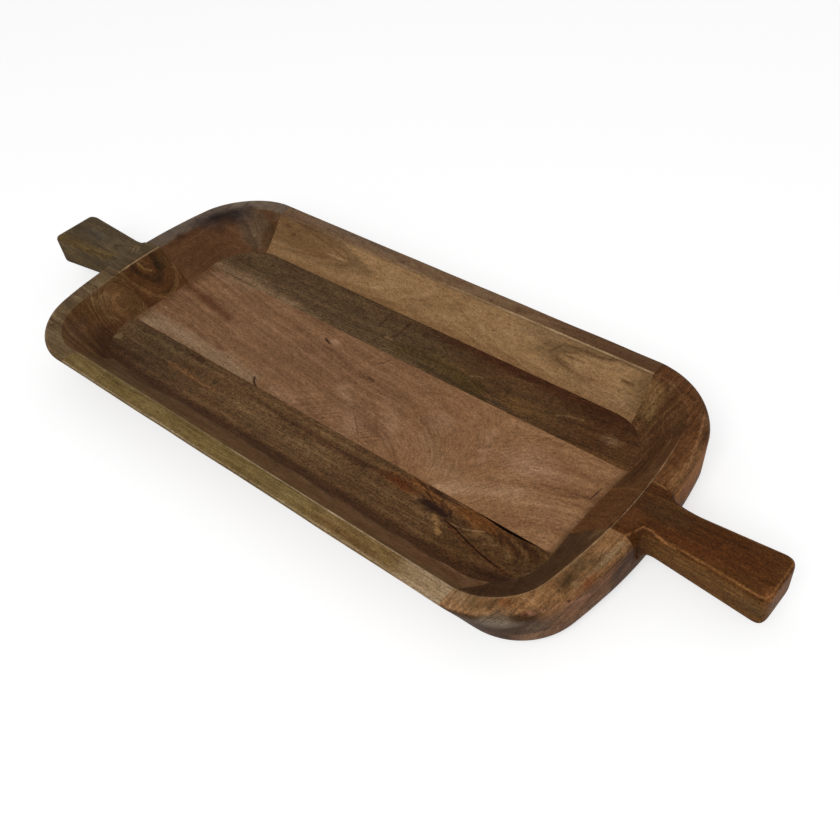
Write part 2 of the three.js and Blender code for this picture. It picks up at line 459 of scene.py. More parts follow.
def cavity_skin(tree, size):
    levels = COVE_LEVELS + CAVITY_WALL_LEVELS + LIP_LEVELS + 3
    wall_start = 1.0 + COVE_LEVELS
    lip_start = wall_start + CAVITY_WALL_LEVELS
    lip_end = lip_start + LIP_LEVELS

    def place(turn, level):
        cove = ramp(level, 1.0, wall_start)
        wall = ramp(level, wall_start, lip_start)
        lip = ramp(level, lip_start, lip_end)
        above = ramp(level, lip_end, lip_end + 1.0)
        sweep = QUARTER_TURN - size["Side slope"]
        lip_drop = (1 - cosine(sweep)) * size["Lip arris"]
        lip_turn = sweep * (1 - lip)
        z_cove = size["Floor"] + (1 - cosine(cove * sweep)) * size["Cove"]
        cove_top = size["Floor"] + (1 - cosine(sweep)) * size["Cove"]
        z_wall = wall * (size["Height"] - lip_drop - cove_top)
        z_lip = (cosine(lip_turn) - cosine(sweep)) * size["Lip arris"]
        z = z_cove + z_wall + z_lip + above * CLEARANCE
        wall_z = z_cove + z_wall
        spread = (sine(sweep) - sine(lip_turn)) * size["Lip arris"]
        shape = (size["Height"], size["Side slope"], size["Cove"], size["Floor"])
        side = leaning_wall(wall_z, size["Half width"], *shape)
        foot = leaning_wall(size["Glue plane"], size["Half width"], *shape)
        shape = (size["Height"], size["End slope"], size["Cove"], size["Floor"])
        end = leaning_wall(wall_z, size["Half length"], *shape)
        depth = ramp(z, size["Glue plane"], size["Height"], 1.0, 0.0)
        below = (foot - side).combine("MAXIMUM", 0.0)
        corner = mixed(depth, size["Corner at lip"], size["Corner at foot"]) - below + spread
        bow = mixed(depth, size["Bow at lip"], size["Bow at foot"])
        x, y = outline_point(turn, end + spread, side + spread, corner, bow)
        shrink = shrink_at_ends(level, levels)
        return vector(tree, x * shrink, y * shrink, z)

    return closed_skin(tree, AROUND, levels, place)


print("the cavity is", CAVITY["Height"] - CAVITY["Floor"], "mm deep")

# %% [markdown]
# ## A handle bar
#
# A handle is sawn to its plan, with a neck where it leaves the end wall and a flare towards the
# tip, and its edges are then rounded. So here the levels run outwards along the bar: the near and
# the far edge give the width at each level, and the section is the same round-cornered outline.
# The two bars differ, because each was sawn by eye.

# %% A handle bar
BAR_AROUND = 96
SHOULDER_LEVELS = 16
SHAFT_LEVELS = 16
CORNER_LEVELS = 12


def bar_edge(x, size, side):
    """One long edge of the bar in plan: shoulder, neck, straight flare and corner."""
    neck, tip, corner = size[side + " neck"], size[side + " tip"], size[side + " corner"]
    shoulder = root(ramp(x, size["Wall"], size[side + " neck at"]))
    corner_start = size["Tip"] - corner
    flare = ramp(x, size[side + " neck at"], corner_start)
    turned = 1 - root(1 - ramp(x, corner_start, size["Tip"]))
    inwards = -1.0 if side == "Far" else 1.0
    edge = neck + (size[side + " shoulder"] - neck) * (1 - shoulder) ** 2
    return edge + (tip - neck) * flare + turned**2 * corner * inwards


def bar_skin(tree, size):
    levels = SHOULDER_LEVELS + SHAFT_LEVELS + CORNER_LEVELS + 3
    shoulder_start = 2.0
    shaft_start = shoulder_start + SHOULDER_LEVELS
    corner_start = shaft_start + SHAFT_LEVELS

    def place(turn, level):
        root_run = ramp(level, 1.0, shoulder_start)
        shoulder = ramp(level, shoulder_start, shaft_start) ** 2
        shaft = ramp(level, shaft_start, corner_start)
        corner = 1 - ramp(level, corner_start, levels - 1.0, 1.0, 0.0) ** 2
        x = size["Root"] + root_run * (size["Wall"] - size["Root"])
        x = x + shoulder * (size["Far neck at"] - size["Wall"])
        x = x + shaft * (size["Tip"] - size["Far corner"] - size["Far neck at"])
        x = x + corner * size["Far corner"]
        near, far = bar_edge(x, size, "Near"), bar_edge(x, size, "Far")
        outward = ramp(x, size["Wall"], size["Tip"])
        fillet = (1 - root(ramp(x, size["Wall"], size["Wall"] + size["Fillet"]))) ** 2
        thickness = mixed(outward, size["Neck thickness"], size["Tip thickness"])
        thickness = thickness + fillet * size["Fillet"]
        arris = size["Arris"]
        beyond = (x - size["Tip"] + arris).combine("MAXIMUM", 0.0)
        inset = arris - root(arris**2 - beyond**2)
        half_width = (far - near) * 0.5
        half_height = thickness * 0.5 - inset
        across, up = outline_point(turn, half_width, half_height, arris, 0.0)
        shrink = shrink_at_ends(level, levels)
        y = (near + far) * 0.5 + across * shrink * size["End"]
        z = size["Height"] - thickness * 0.5 + up * shrink
        depth = (size["Height"] - z) / thickness
        x = x - outward * depth * size["Undercut"]
        return vector(tree, x * size["End"], y, z)

    return closed_skin(tree, BAR_AROUND, levels, place)


print("bars end", RIGHT_BAR["Tip"], "and", LEFT_BAR["Tip"], "mm from the middle of the body")

# %% [markdown]
# ## Join and carve
#
# The bars are joined to the body before the cavity is taken away, so that the hollow trims their
# roots as it does on the real tray. The result is turned into a plain mesh once, because all the
# blanks are sawn from it.

# %% Join and carve
BODY_TREE = new_tree("Body skin", BODY, body_skin)
CAVITY_TREE = new_tree("Cavity skin", CAVITY, cavity_skin)
BAR_TREE = new_tree("Handle bar", RIGHT_BAR, bar_skin)


def boolean(tree, operation, first, others):
    made = node(tree, "GeometryNodeMeshBoolean", operation=operation, solver="MANIFOLD")
    if first is not None:
        join(tree, made.inputs["Mesh 1"], first)
    for other in others:
        join(tree, made.inputs["Mesh 2"], other)
    return Field(made.outputs["Mesh"])


def carved_form(tree, size):
    """Body and bars joined, less the cavity, in metres."""
    solids = [grouped(tree, BODY_TREE, BODY)]
    solids += [grouped(tree, BAR_TREE, bar) for bar in (RIGHT_BAR, LEFT_BAR)]
    joined = boolean(tree, "UNION", None, solids)
    carved = boolean(tree, "DIFFERENCE", joined, [grouped(tree, CAVITY_TREE, CAVITY)])
    shift = vector(tree, size["Shift"], 0.0, 0.0)
    metres = vector(tree, size["Unit"], size["Unit"], size["Unit"])
    placed = {"Geometry": carved, "Translation": shift, "Scale": metres}
    sized = Field(node(tree, "GeometryNodeTransform", placed).outputs[0])
    real = Field(node(tree, "GeometryNodeRealizeInstances", {0: sized}).outputs[0])
    bare_wood = {"Geometry": real, "Material": BARE_WOOD}
    return Field(node(tree, "GeometryNodeSetMaterial", bare_wood).outputs[0])


BARE_WOOD = bpy.data.materials.new("Bare wood")
CARVED_TREE = new_tree("Carved form", ("Shift", "Unit"), carved_form)
print("nodes in the carved form's tree:", len(CARVED_TREE.nodes))


# %% Run the tree once
def put_in_scene(name, data):
    thing = bpy.data.objects.new(name, data)
    bpy.context.scene.collection.objects.link(thing)
    return thing


def mesh_with(thing, modifier):
    """The object's mesh as its modifier makes it, as a plain mesh. The modifier is removed."""
    bpy.context.view_layer.update()
    evaluated = thing.evaluated_get(bpy.context.evaluated_depsgraph_get())
    made = bpy.data.meshes.new_from_object(evaluated)
    thing.modifiers.remove(modifier)
    return made


def mesh_from_tree(name, tree, sizes):
    """Run the tree at these sizes on an empty mesh, and return the result as a plain mesh."""
    carrier = put_in_scene(name, bpy.data.meshes.new(name))
    modifier = carrier.modifiers.new(name, "NODES")
    modifier.node_group = tree
    for item in tree.interface.items_tree:
        if item.in_out == "INPUT":
            modifier[item.identifier] = sizes[item.name]
    made = mesh_with(carrier, modifier)
    bpy.data.objects.remove(carrier)
    return made


carved_mesh = mesh_from_tree("Carved form", CARVED_TREE, {"Shift": BODY_SHIFT * MM, "Unit": MM})
print("carved form:", len(carved_mesh.vertices), "points,", len(carved_mesh.polygons), "faces")

# %% [markdown]
# ## Sawing the form into its blanks
#
# On the real tray the blanks were glued first and carved after, so every piece is the carved form
# within its own block of wood. Cutting planes give that directly: each piece is a copy of the form
# trimmed to its block, with a flat glue face wherever a plane went through.

# %% The eleven blanks
SEAM_NEAR, SEAM_FAR = -46.75, 52.25
NEAR_RAIL = (-218.0, 230.25)
FAR_RAIL = (-220.5, 224.75)
LEFT_HANDLE = (-30.75, 20.0)
RIGHT_HANDLE = (-24.5, 29.75)
OPEN = (None, None)
BASE = (None, GLUE_PLANE)
FRAME = (GLUE_PLANE, None)
BLANKS = {
    "base_board_near": (OPEN, (None, SEAM_NEAR), BASE),
    "base_board_centre": (OPEN, (SEAM_NEAR, SEAM_FAR), BASE),
    "base_board_far": (OPEN, (SEAM_FAR, None), BASE),
    "side_rail_near": (NEAR_RAIL, (None, 0.0), FRAME),
    "side_rail_far": (FAR_RAIL, (0.0, None), FRAME),
    "corner_block_near_left": ((None, NEAR_RAIL[0]), (None, LEFT_HANDLE[0]), FRAME),
    "corner_block_far_left": ((None, FAR_RAIL[0]), (LEFT_HANDLE[1], None), FRAME),
    "corner_block_near_right": ((NEAR_RAIL[1], None), (None, RIGHT_HANDLE[0]), FRAME),
    "corner_block_far_right": ((FAR_RAIL[1], None), (RIGHT_HANDLE[1], None), FRAME),
    "handle_left": ((None, 0.0), LEFT_HANDLE, FRAME),
    "handle_right": ((0.0, None), RIGHT_HANDLE, FRAME),
}
SMOOTH_ANGLE = math.radians(38)  # sharper edges than this stay sharp
ON_PLANE = 1e-7  # metres


# %% Saw a piece to its blank
def trim(form, axis, place, keep_above):
    """Cut the form with a plane square to an axis, and close the cut."""
    point, normal = Vector(), Vector()
    point[axis] = place
    normal[axis] = -1.0 if keep_above else 1.0
    parts = [*form.verts, *form.edges, *form.faces]
    cut = bmesh.ops.bisect_plane(
        form, geom=parts, dist=ON_PLANE, plane_co=point, plane_no=normal, clear_outer=True
    )
    edges = [item for item in cut["geom_cut"] if isinstance(item, bmesh.types.BMEdge)]
    bmesh.ops.triangle_fill(form, edges=edges, use_beauty=True)


def closed_mesh(name, form):
    """The form as a mesh whose faces all look outwards."""
    bmesh.ops.recalc_face_normals(form, faces=form.faces)
    mesh = bpy.data.meshes.new(name)
    form.to_mesh(mesh)
    form.free()
    return mesh


def smoothed(mesh):
    mesh.shade_smooth()
    mesh.set_sharp_from_angle(angle=SMOOTH_ANGLE)
    return mesh


def saw_piece(name, blank):
    form = bmesh.new()
    form.from_mesh(carved_mesh)
    for axis, limits in enumerate(blank):
        shift = BODY_SHIFT if axis == 0 else 0.0
        for limit, keep_above in zip(limits, (True, False)):
            if limit is not None:
                trim(form, axis, (limit + shift) * MM, keep_above)
    return put_in_scene("wood_" + name, smoothed(closed_mesh(name, form)))


pieces = {name: saw_piece(name, blank) for name, blank in BLANKS.items()}
for name, piece in pieces.items():
    print(f"{name:26}{len(piece.data.polygons):7} faces")

# %% [markdown]
# ## Real cracks
#
# A crack that is only painted on disappears in raking light. Here the near board has shrunk away
# from its neighbour at the right-hand end, a long crack runs from the knot to the corner, and the
# centre board has small splits. Each is a thin blade that follows its path, taken out of the board
# with a boolean before the board gets its finish.

# %% A blade along a path
FLOOR_TOP = CAVITY["Floor"]
ABOVE = 5.0  # a blade goes on this far above the flat, so that it also opens the cove
TIP_WIDTH = 0.05  # what is left of a blade's reach where the crack ends


def blade(path, left, right, depth):
    """A closed blade. Its top reaches left and right of the path at each point, in millimetres."""
    form = bmesh.new()
    rings = []
    for index, point in enumerate(path):
        before, after = Vector(path[max(index - 1, 0)]), Vector(path[min(index + 1, len(path) - 1)])
        run = (after - before).normalized()
        square = Vector((-run.y, run.x))
        reach = (square * (left[index] + TIP_WIDTH), square * (right[index] + TIP_WIDTH) * -1)
        centre = Vector(point)
        corners = [
            (*(centre + reach[0]), FLOOR_TOP + ABOVE),
            (*(centre + reach[0]), FLOOR_TOP),
            (*(centre + (reach[0] + reach[1]) * 0.5), FLOOR_TOP - depth),
            (*(centre + reach[1]), FLOOR_TOP),
            (*(centre + reach[1]), FLOOR_TOP + ABOVE),
        ]
        rings.append([form.verts.new(Vector(corner) * MM) for corner in corners])
    for first, second in zip(rings, rings[1:]):
        for side in range(len(first)):
            form.faces.new((first[side - 1], first[side], second[side], second[side - 1]))
    form.faces.new(rings[0])
    form.faces.new(rings[-1])
    return closed_mesh("Blade", form)


print("a blade goes on", ABOVE, "mm above the flat")

# %% Where the cracks run
CRACKS = {
    "base_board_near": (
        # the gap beside the centre board, whose own edge stays straight
        (
            ((180, -46.9), (194, -46.9), (207, -46.9), (221, -46.9), (240, -46.9)),
            (0.4, 0.4, 0.4, 0.4, 0.4),
            (0.0, 1.4, 2.6, 2.1, 0.1),
            5.0,
        ),
        (
            ((163, -67.2), (176, -69.6), (190, -73.6), (204, -76.8), (217, -78.9), (238, -81)),
            (0.3, 0.35, 0.4, 0.35, 0.3, 0.0),
            (0.3, 0.35, 0.4, 0.35, 0.3, 0.0),
            3.0,
        ),
        (((124, -52.3), (136, -54.8), (147, -59.6)), (0.0, 0.3, 0.2), (0.0, 0.3, 0.2), 2.0),
    ),
    "base_board_centre": (
        (
            ((-88, -38.5), (-85, -42), (-81, -45), (-76, -46.5)),
            (0.0, 0.5, 0.4, 0.0),
            (0.0, 0.5, 0.4, 0.0),
            2.5,
        ),
        (((-72, 36.2), (-67, 34.4), (-62, 33)), (0.0, 0.5, 0.0), (0.0, 0.5, 0.0), 2.0),
        (((241.4, 12), (242, 19), (243, 28)), (0.0, 0.25, 0.0), (0.0, 0.25, 0.0), 2.0),
    ),
}
print("cracks:", {name: len(cracks) for name, cracks in CRACKS.items()})


# %% Open the cracks
def open_crack(piece, mesh):
    """Take the blade out of the piece."""
    cutter = put_in_scene("Blade", mesh)
    cut = piece.modifiers.new("Crack", "BOOLEAN")
    cut.operation = "DIFFERENCE"
    cut.solver = "MANIFOLD"
    cut.object = cutter
    piece.data = smoothed(mesh_with(piece, cut))
    bpy.data.objects.remove(cutter)


for name, cracks in CRACKS.items():
    faces_before = len(pieces[name].data.polygons)
    for path, left, right, depth in cracks:
        open_crack(pieces[name], blade(path, left, right, depth))
    faces = len(pieces[name].data.polygons)
    print(f"{name}: {len(cracks)} cracks, {faces_before} -> {faces} faces")

# %% [markdown]
# ## Joining the pieces to the measured model
#
# Every piece rides on the one body and stands for its measured piece, which is hidden. Its finish
# comes later.

# %% Ride and replace
for name, piece in pieces.items():
    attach(piece, "root")
    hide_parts(name)
print("dressed pieces:", len(pieces))

# %% [markdown]
# ## Building a wood in layers
#
# The boards come from different trees, and each has its own colour, rings, streaks and knots. A
# photograph could be laid on them, but it would stop at the edges and couldn't be cut. A real
# board is solid, so each wood is a solid pattern: rings round a pith, fibres that follow the
# rings, and pores along them, all worked out from the place in the tray in millimetres. Stains,
# knots and cracks are added on top, each at the place where this tray has it.

# %% Colour and noise helpers
SCREEN_FULL = 255
MM_PER_METRE = 1000.0
NOISE_CONTRAST = 4.0  # brings most of the noise to between -1 and 1
PORE_SHADE = (0.38, 0.34, 0.32)  # how dark an open pore is beside its wood


def tone(red, green, blue):
    """A colour judged on a screen, from 0 to 255, as the linear numbers that shaders use."""
    shares = [value / SCREEN_FULL for value in (red, green, blue)]
    return tuple(((share + 0.055) / 1.055) ** 2.4 for share in shares)


def blend(share, first, second):
    """The first colour where share is 0, the second where it is 1."""
    made = node(share.tree, "ShaderNodeMix", {0: share, 6: first, 7: second}, data_type="RGBA")
    return Field(made.outputs[2])


def clouds(place, reach, detail, seed):
    """Noise round 0 whose features reach this far in millimetres along the three axes."""
    inputs = {"Vector": place / reach + (seed, -seed, seed / 2), "Scale": 1.0, "Detail": detail}
    made = node(place.tree, "ShaderNodeTexNoise", inputs)
    return (Field(made.outputs[0]) - 0.5) * NOISE_CONTRAST


def bands(value, width, detail, seed):
    """Noise round 0 that changes with one value only, so it is level along each ring."""
    inputs = {"W": value / width + seed, "Scale": 1.0, "Detail": detail}
    made = node(value.tree, "ShaderNodeTexNoise", inputs, noise_dimensions="1D")
    return (Field(made.outputs[0]) - 0.5) * NOISE_CONTRAST


def falling(distance, reach):
    """1 at no distance, dying away over this reach."""
    return (distance * (-1 / reach)).combine("EXPONENT")


def round_pith(across, z, pith, dive=0.0):
    """Distance from a pith that runs along the grain, dive millimetres under the surface."""
    return root((across - pith[0]) ** 2 + (z - pith[1]) ** 2 + dive**2)


print("a mid brown in linear numbers:", [round(value, 3) for value in tone(128, 96, 73)])

# %% [markdown]
# ## A piece of wood and its own directions
#
# Each board knows which way its grain runs and where its rings lie. The ring distance is a formula
# of the place, bent a little by two noises, because no trunk is a perfect cylinder. A place
# measured along the grain and by ring distance lets the fibres follow the rings wherever they go.

# %% A piece of wood
SWAY, SHIVER = (110.0, 28.0, 28.0), (24.0, 9.0, 9.0)  # how far the rings' bends reach
RAGGED, DRIFT = (7.0, 4.0, 4.0), (30.0, 13.0, 13.0)  # the noises that break up the marks


class Wood:
    """One board's finish. Places and sizes are in millimetres of the tray."""

    def __init__(self, name, seed, figure, grain="X"):
        self.material = bpy.data.materials.new(name)
        self.material.use_nodes = True
        self.tree = self.material.node_tree
        self.tree.nodes.clear()
        self.seed = seed
        coordinates = node(self.tree, "ShaderNodeTexCoord")
        self.place = Field(coordinates.outputs["Object"]) * MM_PER_METRE
        self.x, self.y, self.z = (self.place.axis(letter) for letter in "XYZ")
        along, across = (self.x, self.y) if grain == "X" else (self.y, self.x)
        long_way = vector(self.tree, along, across, self.z)
        sway = clouds(long_way, SWAY, 1.0, seed) * 2.5
        shiver = clouds(long_way, SHIVER, 2.0, seed + 5) * 0.9
        self.ring = figure(along, across, self.z) + sway + shiver
        self.grain_place = vector(self.tree, along, self.ring, self.z)
        self.ragged = clouds(self.place, RAGGED, 3.0, seed + 17)
        self.drift = clouds(self.place, DRIFT, 3.0, seed + 19)


print("a piece of wood measures its place in millimetres, so", MM_PER_METRE, "to the metre")

# %% [markdown]
# ## Rings, fibres and pores
#
# Three sizes of pattern make it wood. Bands along the rings and soft clouds give the figure that
# shows from afar. Fibres give it its streaks. Up close the open pores and the torn fibres of the
# gouge's cut show as short dark dashes and a fine grit, so these darken and lighten the colour by
# a share, and lie over every stain as they do on the real boards.

# %% Grow the plain board
FIBRES, FLECKS, PORES = (28.0, 2.4, 2.4), (5.0, 1.4, 1.4), (6.0, 1.1, 1.1)  # along the grain
PATCHES, MOTTLE, CRUMBS = (55.0, 20.0, 20.0), (13.0, 7.0, 7.0), (1.6, 1.4, 1.4)  # anywhere
PORE_OPENS = (0.45, 0.95)  # the noise values where a pore begins and where it is fully open


def grow(wood, colours, band, line, contrast, grit, pores, calm=1.0):
    """Rings band and line millimetres wide, in three colours, with fine grit and open pores."""
    ground, light, dark = (tone(*colour) for colour in colours)
    wide = bands(wood.ring, band, 1.0, wood.seed + 21) * 0.5
    narrow = bands(wood.ring, line, 3.0, wood.seed + 25) * 0.4
    fibres = clouds(wood.grain_place, FIBRES, 3.0, wood.seed + 9)
    patches = clouds(wood.place, PATCHES, 3.0, wood.seed + 29)
    mottle = clouds(wood.place, MOTTLE, 2.0, wood.seed + 30)
    change = ((wide + narrow) * calm + fibres * 0.5 + patches * 0.5 + mottle * 0.4) * contrast
    grown = blend(ramp(change, 0.0, 1.0), ground, light)
    grown = blend(ramp(change, -1.0, 0.0, 1.0, 0.0), grown, dark)
    fleck = clouds(wood.grain_place, FLECKS, 2.0, wood.seed + 31)
    crumbs = clouds(wood.place, CRUMBS, 1.0, wood.seed + 32)
    fine = ((fleck * 0.8 + crumbs * 1.2) * grit + 1.0).combine("MAXIMUM", 0.3)
    pore_noise = clouds(wood.grain_place, PORES, 1.0, wood.seed + 13)
    open_pores = ramp(pore_noise, *PORE_OPENS)
    texture = blend(open_pores * pores, grown / ground * fine, PORE_SHADE)
    wood.texture = texture
    wood.base = ground
    wood.fibres, wood.pores = fibres, open_pores
    wood.height = fibres * 0.012 + fleck * 0.015 + crumbs * 0.012 - open_pores * 0.08


print("a pore keeps", PORE_SHADE, "of its wood's colour")

# %% [markdown]
# ## Stains, streaks and wear
#
# Heartwood, sapwood and knots change the colour without stopping the grain. So each of these
# changes only the ground colour, by a soft share that falls off round a place or along a path.
# Most marks lie on the flat of the tray, so a place given by x and y alone lies there.

# %% Stains
FINE_STAIN, FINE_STREAK = 6.0, 5.0  # smaller marks than this get the finer ragged edge
STAIN_FADES = (0.15, 1.2)  # in shares of the stain's reach
STREAK_ENDS = 1.3  # in shares of the streak's width


def in_tray(point):
    """The point itself, or the point on the flat where only x and y are given."""
    return (*point, FLOOR_TOP)[:3]


def tint(wood, share, colour):
    wood.base = blend(share, wood.base, tone(*colour))


def around(wood, centre, reach):
    """Distance from a centre, where 1 is this far along X, Y and Z."""
    return ((wood.place - in_tray(centre)) / reach).length()


def stain(wood, colour, centre, reach, strength=0.8, ragged=0.3):
    """A soft cloud of colour round a centre."""
    edge = wood.ragged if min(reach) < FINE_STAIN else wood.drift
    away = around(wood, centre, reach) + edge * ragged
    tint(wood, ramp(away, *STAIN_FADES, strength, 0.0, soft=True), colour)


print("a mark at (0, 0) lies at", in_tray((0.0, 0.0)))

# %% [markdown]
# A streak needs the distance from a path of straight runs. Along each run the nearest point moves
# with the place, and stops at the run's ends. It is worked out with plain numbers: Cycles keeps
# every vector of a material until all its paths are known, and it has room for only 255 numbers.

# %% Streaks
def from_path(wood, points):
    """Distance from a path of straight runs."""
    level = len({point[2] for point in points}) == 1
    rise = wood.z - points[0][2]
    here = (wood.x, wood.y) if level else (wood.x, wood.y, wood.z)
    nearest = None
    for start, end in zip(points, points[1:]):
        run = Vector(end) - Vector(start)
        share = run / run.length_squared
        low = share.dot(Vector(start))
        along = wood.place.dot(tuple(share))
        gaps = [at - ramp(along, low, low + 1.0, *ends) for at, *ends in zip(here, start, end)]
        square = sum(gap * gap for gap in gaps)
        nearest = square if nearest is None else nearest.combine("MINIMUM", square)
    return root(nearest + rise * rise if level else nearest)


def streak(wood, colour, points, width, strength=0.8, ragged=0.4, core=0.0):
    """A line of colour along a path, soft at its sides."""
    edge = wood.ragged if width < FINE_STREAK else wood.drift
    away = from_path(wood, [in_tray(point) for point in points]) / width + edge * ragged
    tint(wood, ramp(away, core, STREAK_ENDS, strength, 0.0, soft=True), colour)


print("marks can be laid as a", tint.__name__ + ",", "a", stain.__name__, "or a", streak.__name__)

# %% [markdown]
# Some marks belong to a part of the form and not to a place: a crack gets painted shade inside, a
# line keeps to one ring, a board is darker towards its end, where painted shade fills the cove, and
# an edge is paler, partly rubbed by hands and partly a painted highlight. Each of these is a share
# worked out from the height, the ring or an axis. To tell the lip from the outer edge of the rim,
# which have the same height, the rim's own round-cornered outline is measured again.

# %% Painted shade inside the cracks
# a near-black colour that stands for the shade inside the narrow cracks
CRACK_SHADE = (30, 17, 11)
CRACK_TOP, CRACK_FOOT = (FLOOR_TOP - 0.4, FLOOR_TOP - 0.05), (9.0, 11.0)
FLAT_ENDS = (252.0, 256.0)  # the flat of the tray ends this far from the middle


def crack_shade(wood, y_from, y_to):
    """Painted shade on the cracks' sides: below the flat, within the tray and between two seams,
    only they show.
    """
    below = ramp(wood.z, *CRACK_TOP, 1.0, 0.0) * ramp(wood.z, *CRACK_FOOT)
    within = ramp(wood.x.combine("ABSOLUTE"), *FLAT_ENDS, 1.0, 0.0)
    between = ramp(wood.y, y_from - 1.0, y_from) * ramp(wood.y, y_to, y_to + 0.02, 1.0, 0.0)
    tint(wood, below * within * between, CRACK_SHADE)


print("a crack is dark between the heights", CRACK_FOOT[0], "and", CRACK_TOP[1])


# %% Lines along a ring and changes along an axis
def ring_line(wood, colour, at, width, strength=0.7, where=1.0):
    """A line of colour along one ring, as strong as where says."""
    away = (wood.ring - at).combine("ABSOLUTE") + wood.ragged * (width * 0.3)
    tint(wood, ramp(away, 0.0, width, strength, 0.0, soft=True) * where, colour)


def past(wood, axis, start, end):
    """A share that goes from 0 to 1 as one axis goes from start to end, a little ragged."""
    value = getattr(wood, axis.lower()) + wood.drift * (abs(end - start) * 0.15)
    if start < end:
        return ramp(value, start, end, soft=True)
    return ramp(value, end, start, 1.0, 0.0, soft=True)


print("a ring line is drawn with", ring_line.__name__)

# %% Worn edges and painted highlights
# the pale colour of the rim's rounded edges stands partly for rubbed wood and partly for a painted
# highlight
WORN_AND_HIGHLIT_WOOD = (184, 154, 114)
RIM_BOW = 0.00117  # how fast the rim's ends curve back, per millimetre
MID_RIM = (4.0, 6.0)  # how far the middle of the rim lies beyond the lip
ARRIS_STARTS, ARRIS_ENDS = (49.6, 50.1), (50.6, 50.9)


def lip_side(wood):
    """1 from the cavity to the middle of the rim, 0 beyond it."""
    y = wood.y.combine("ABSOLUTE")
    x = (wood.x - BODY_SHIFT).combine("ABSOLUTE") + y * y * RIM_BOW
    out_x = (x - (CAVITY["Half length"] - CAVITY["Corner at lip"])).combine("MAXIMUM", 0.0)
    out_y = (y - (CAVITY["Half width"] - CAVITY["Corner at lip"])).combine("MAXIMUM", 0.0)
    beyond = root(out_x * out_x + out_y * out_y) - CAVITY["Corner at lip"]
    return ramp(beyond, *MID_RIM, 1.0, 0.0)


def wear_and_highlight_arrises(wood, strength, colour=WORN_AND_HIGHLIT_WOOD):
    """Rounded edges of the rim made paler: partly rubbed by hands, partly a painted highlight."""
    edge = ramp(wood.z, *ARRIS_STARTS) * ramp(wood.z, *ARRIS_ENDS, 1.0, 0.0)
    worn_and_highlit = edge * ramp(wood.drift, -0.8, 0.2, 0.4, 1.0)
    tint(wood, worn_and_highlit * strength, colour)


print("worn arris colour:", WORN_AND_HIGHLIT_WOOD)

# %% [markdown]
# ## The oiled surface
#
# The tray is rubbed with oil, which leaves a soft sheen and no film. The last step of each wood
# puts the grain's texture over the ground colour, makes the pores duller and gives the shader a
# bump from the same fibres, so that colour and relief agree.

# %% Oil the surface
ROUGHNESS, SPECULAR = 0.55, 0.05
RIPPLE = (26.0, 15.0, 15.0)  # the gouge's soft ripples, in millimetres


def oiled(wood):
    """The oiled surface over the colour: satin, duller in the pores."""
    ripple = clouds(wood.place, RIPPLE, 1.0, wood.seed + 33) * 0.05
    bump = {"Height": wood.height + ripple, "Strength": 1.0, "Distance": MM}
    relief = Field(node(wood.tree, "ShaderNodeBump", bump).outputs["Normal"])
    inputs = {
        "Base Color": wood.texture.combine("MULTIPLY", wood.base),
        "Roughness": wood.fibres * 0.03 + wood.pores * 0.2 + ROUGHNESS,
        "Specular IOR Level": SPECULAR,
        "Normal": relief,
    }
    surface = Field(node(wood.tree, "ShaderNodeBsdfPrincipled", inputs).outputs["BSDF"])
    output = wood.tree.nodes.new("ShaderNodeOutputMaterial")
    join(wood.tree, output.inputs["Surface"], surface)
    return wood.material


def dress(name, material):
    """Give a piece its wood."""
    pieces[name].data.materials.clear()
    pieces[name].data.materials.append(material)
    print(f"{name:24}{material.name:20}{len(material.node_tree.nodes):5} nodes")


print("finish:", oiled.__doc__)

# %% [markdown]
# ## The centre board
#
# The widest board is a pinkish tan. Its long streaks drift towards the near side, dip steeply
# before the right-hand end and rise again beyond it, as wood does beside a hidden branch. So its
# rings follow a straight board with one fold in it, deep at the near seam and nearly gone at the
# far one. Short saw-like chatter marks, a few knotlets and a cream band of sapwood along the near
# seam come on top.

# %% The centre board's rings
FOLD_AT = 138


def centre_figure(x, y, z):
    before = (x - FOLD_AT).combine("MINIMUM", 0.0)
    beyond = (x - FOLD_AT).combine("MAXIMUM", 0.0) * 0.7
    fold = root((before + beyond) ** 2 + 12.0**2)
    depth = ramp(y, -48.0, 50.0, 112.0, 14.0)
    return y + falling(fold, 32.0) * depth + x.combine("MINIMUM", 0.0) * 0.14 + z * 0.2


def fold_calm(wood):
    """The swirl inside the fold hardly shows its rings."""
    return ramp(around(wood, (128, -4), (56.0, 56.0, 40.0)), 0.6, 1.8, 0.15, 1.0)


def chatter_marks(wood, colour):
    """Rows of short marks that a blunt planer leaves across the grain."""
    rows = bands(wood.x - wood.y * 1.08, 3.6, 1.0, 2.0) + wood.ragged * 0.2
    for centre, reach in (((-12, -34), (34, 14, 9)), ((50, -33), (19, 13, 9))):
        away = around(wood, centre, reach) + wood.ragged * 0.2
        near = ramp(away, 0.4, 1.1, 1.0, 0.0, soft=True)
        tint(wood, near * ramp(rows, 0.05, 0.5) * 0.6, colour)


print("the centre board's rings fold", FOLD_AT, "mm to the right of the middle")


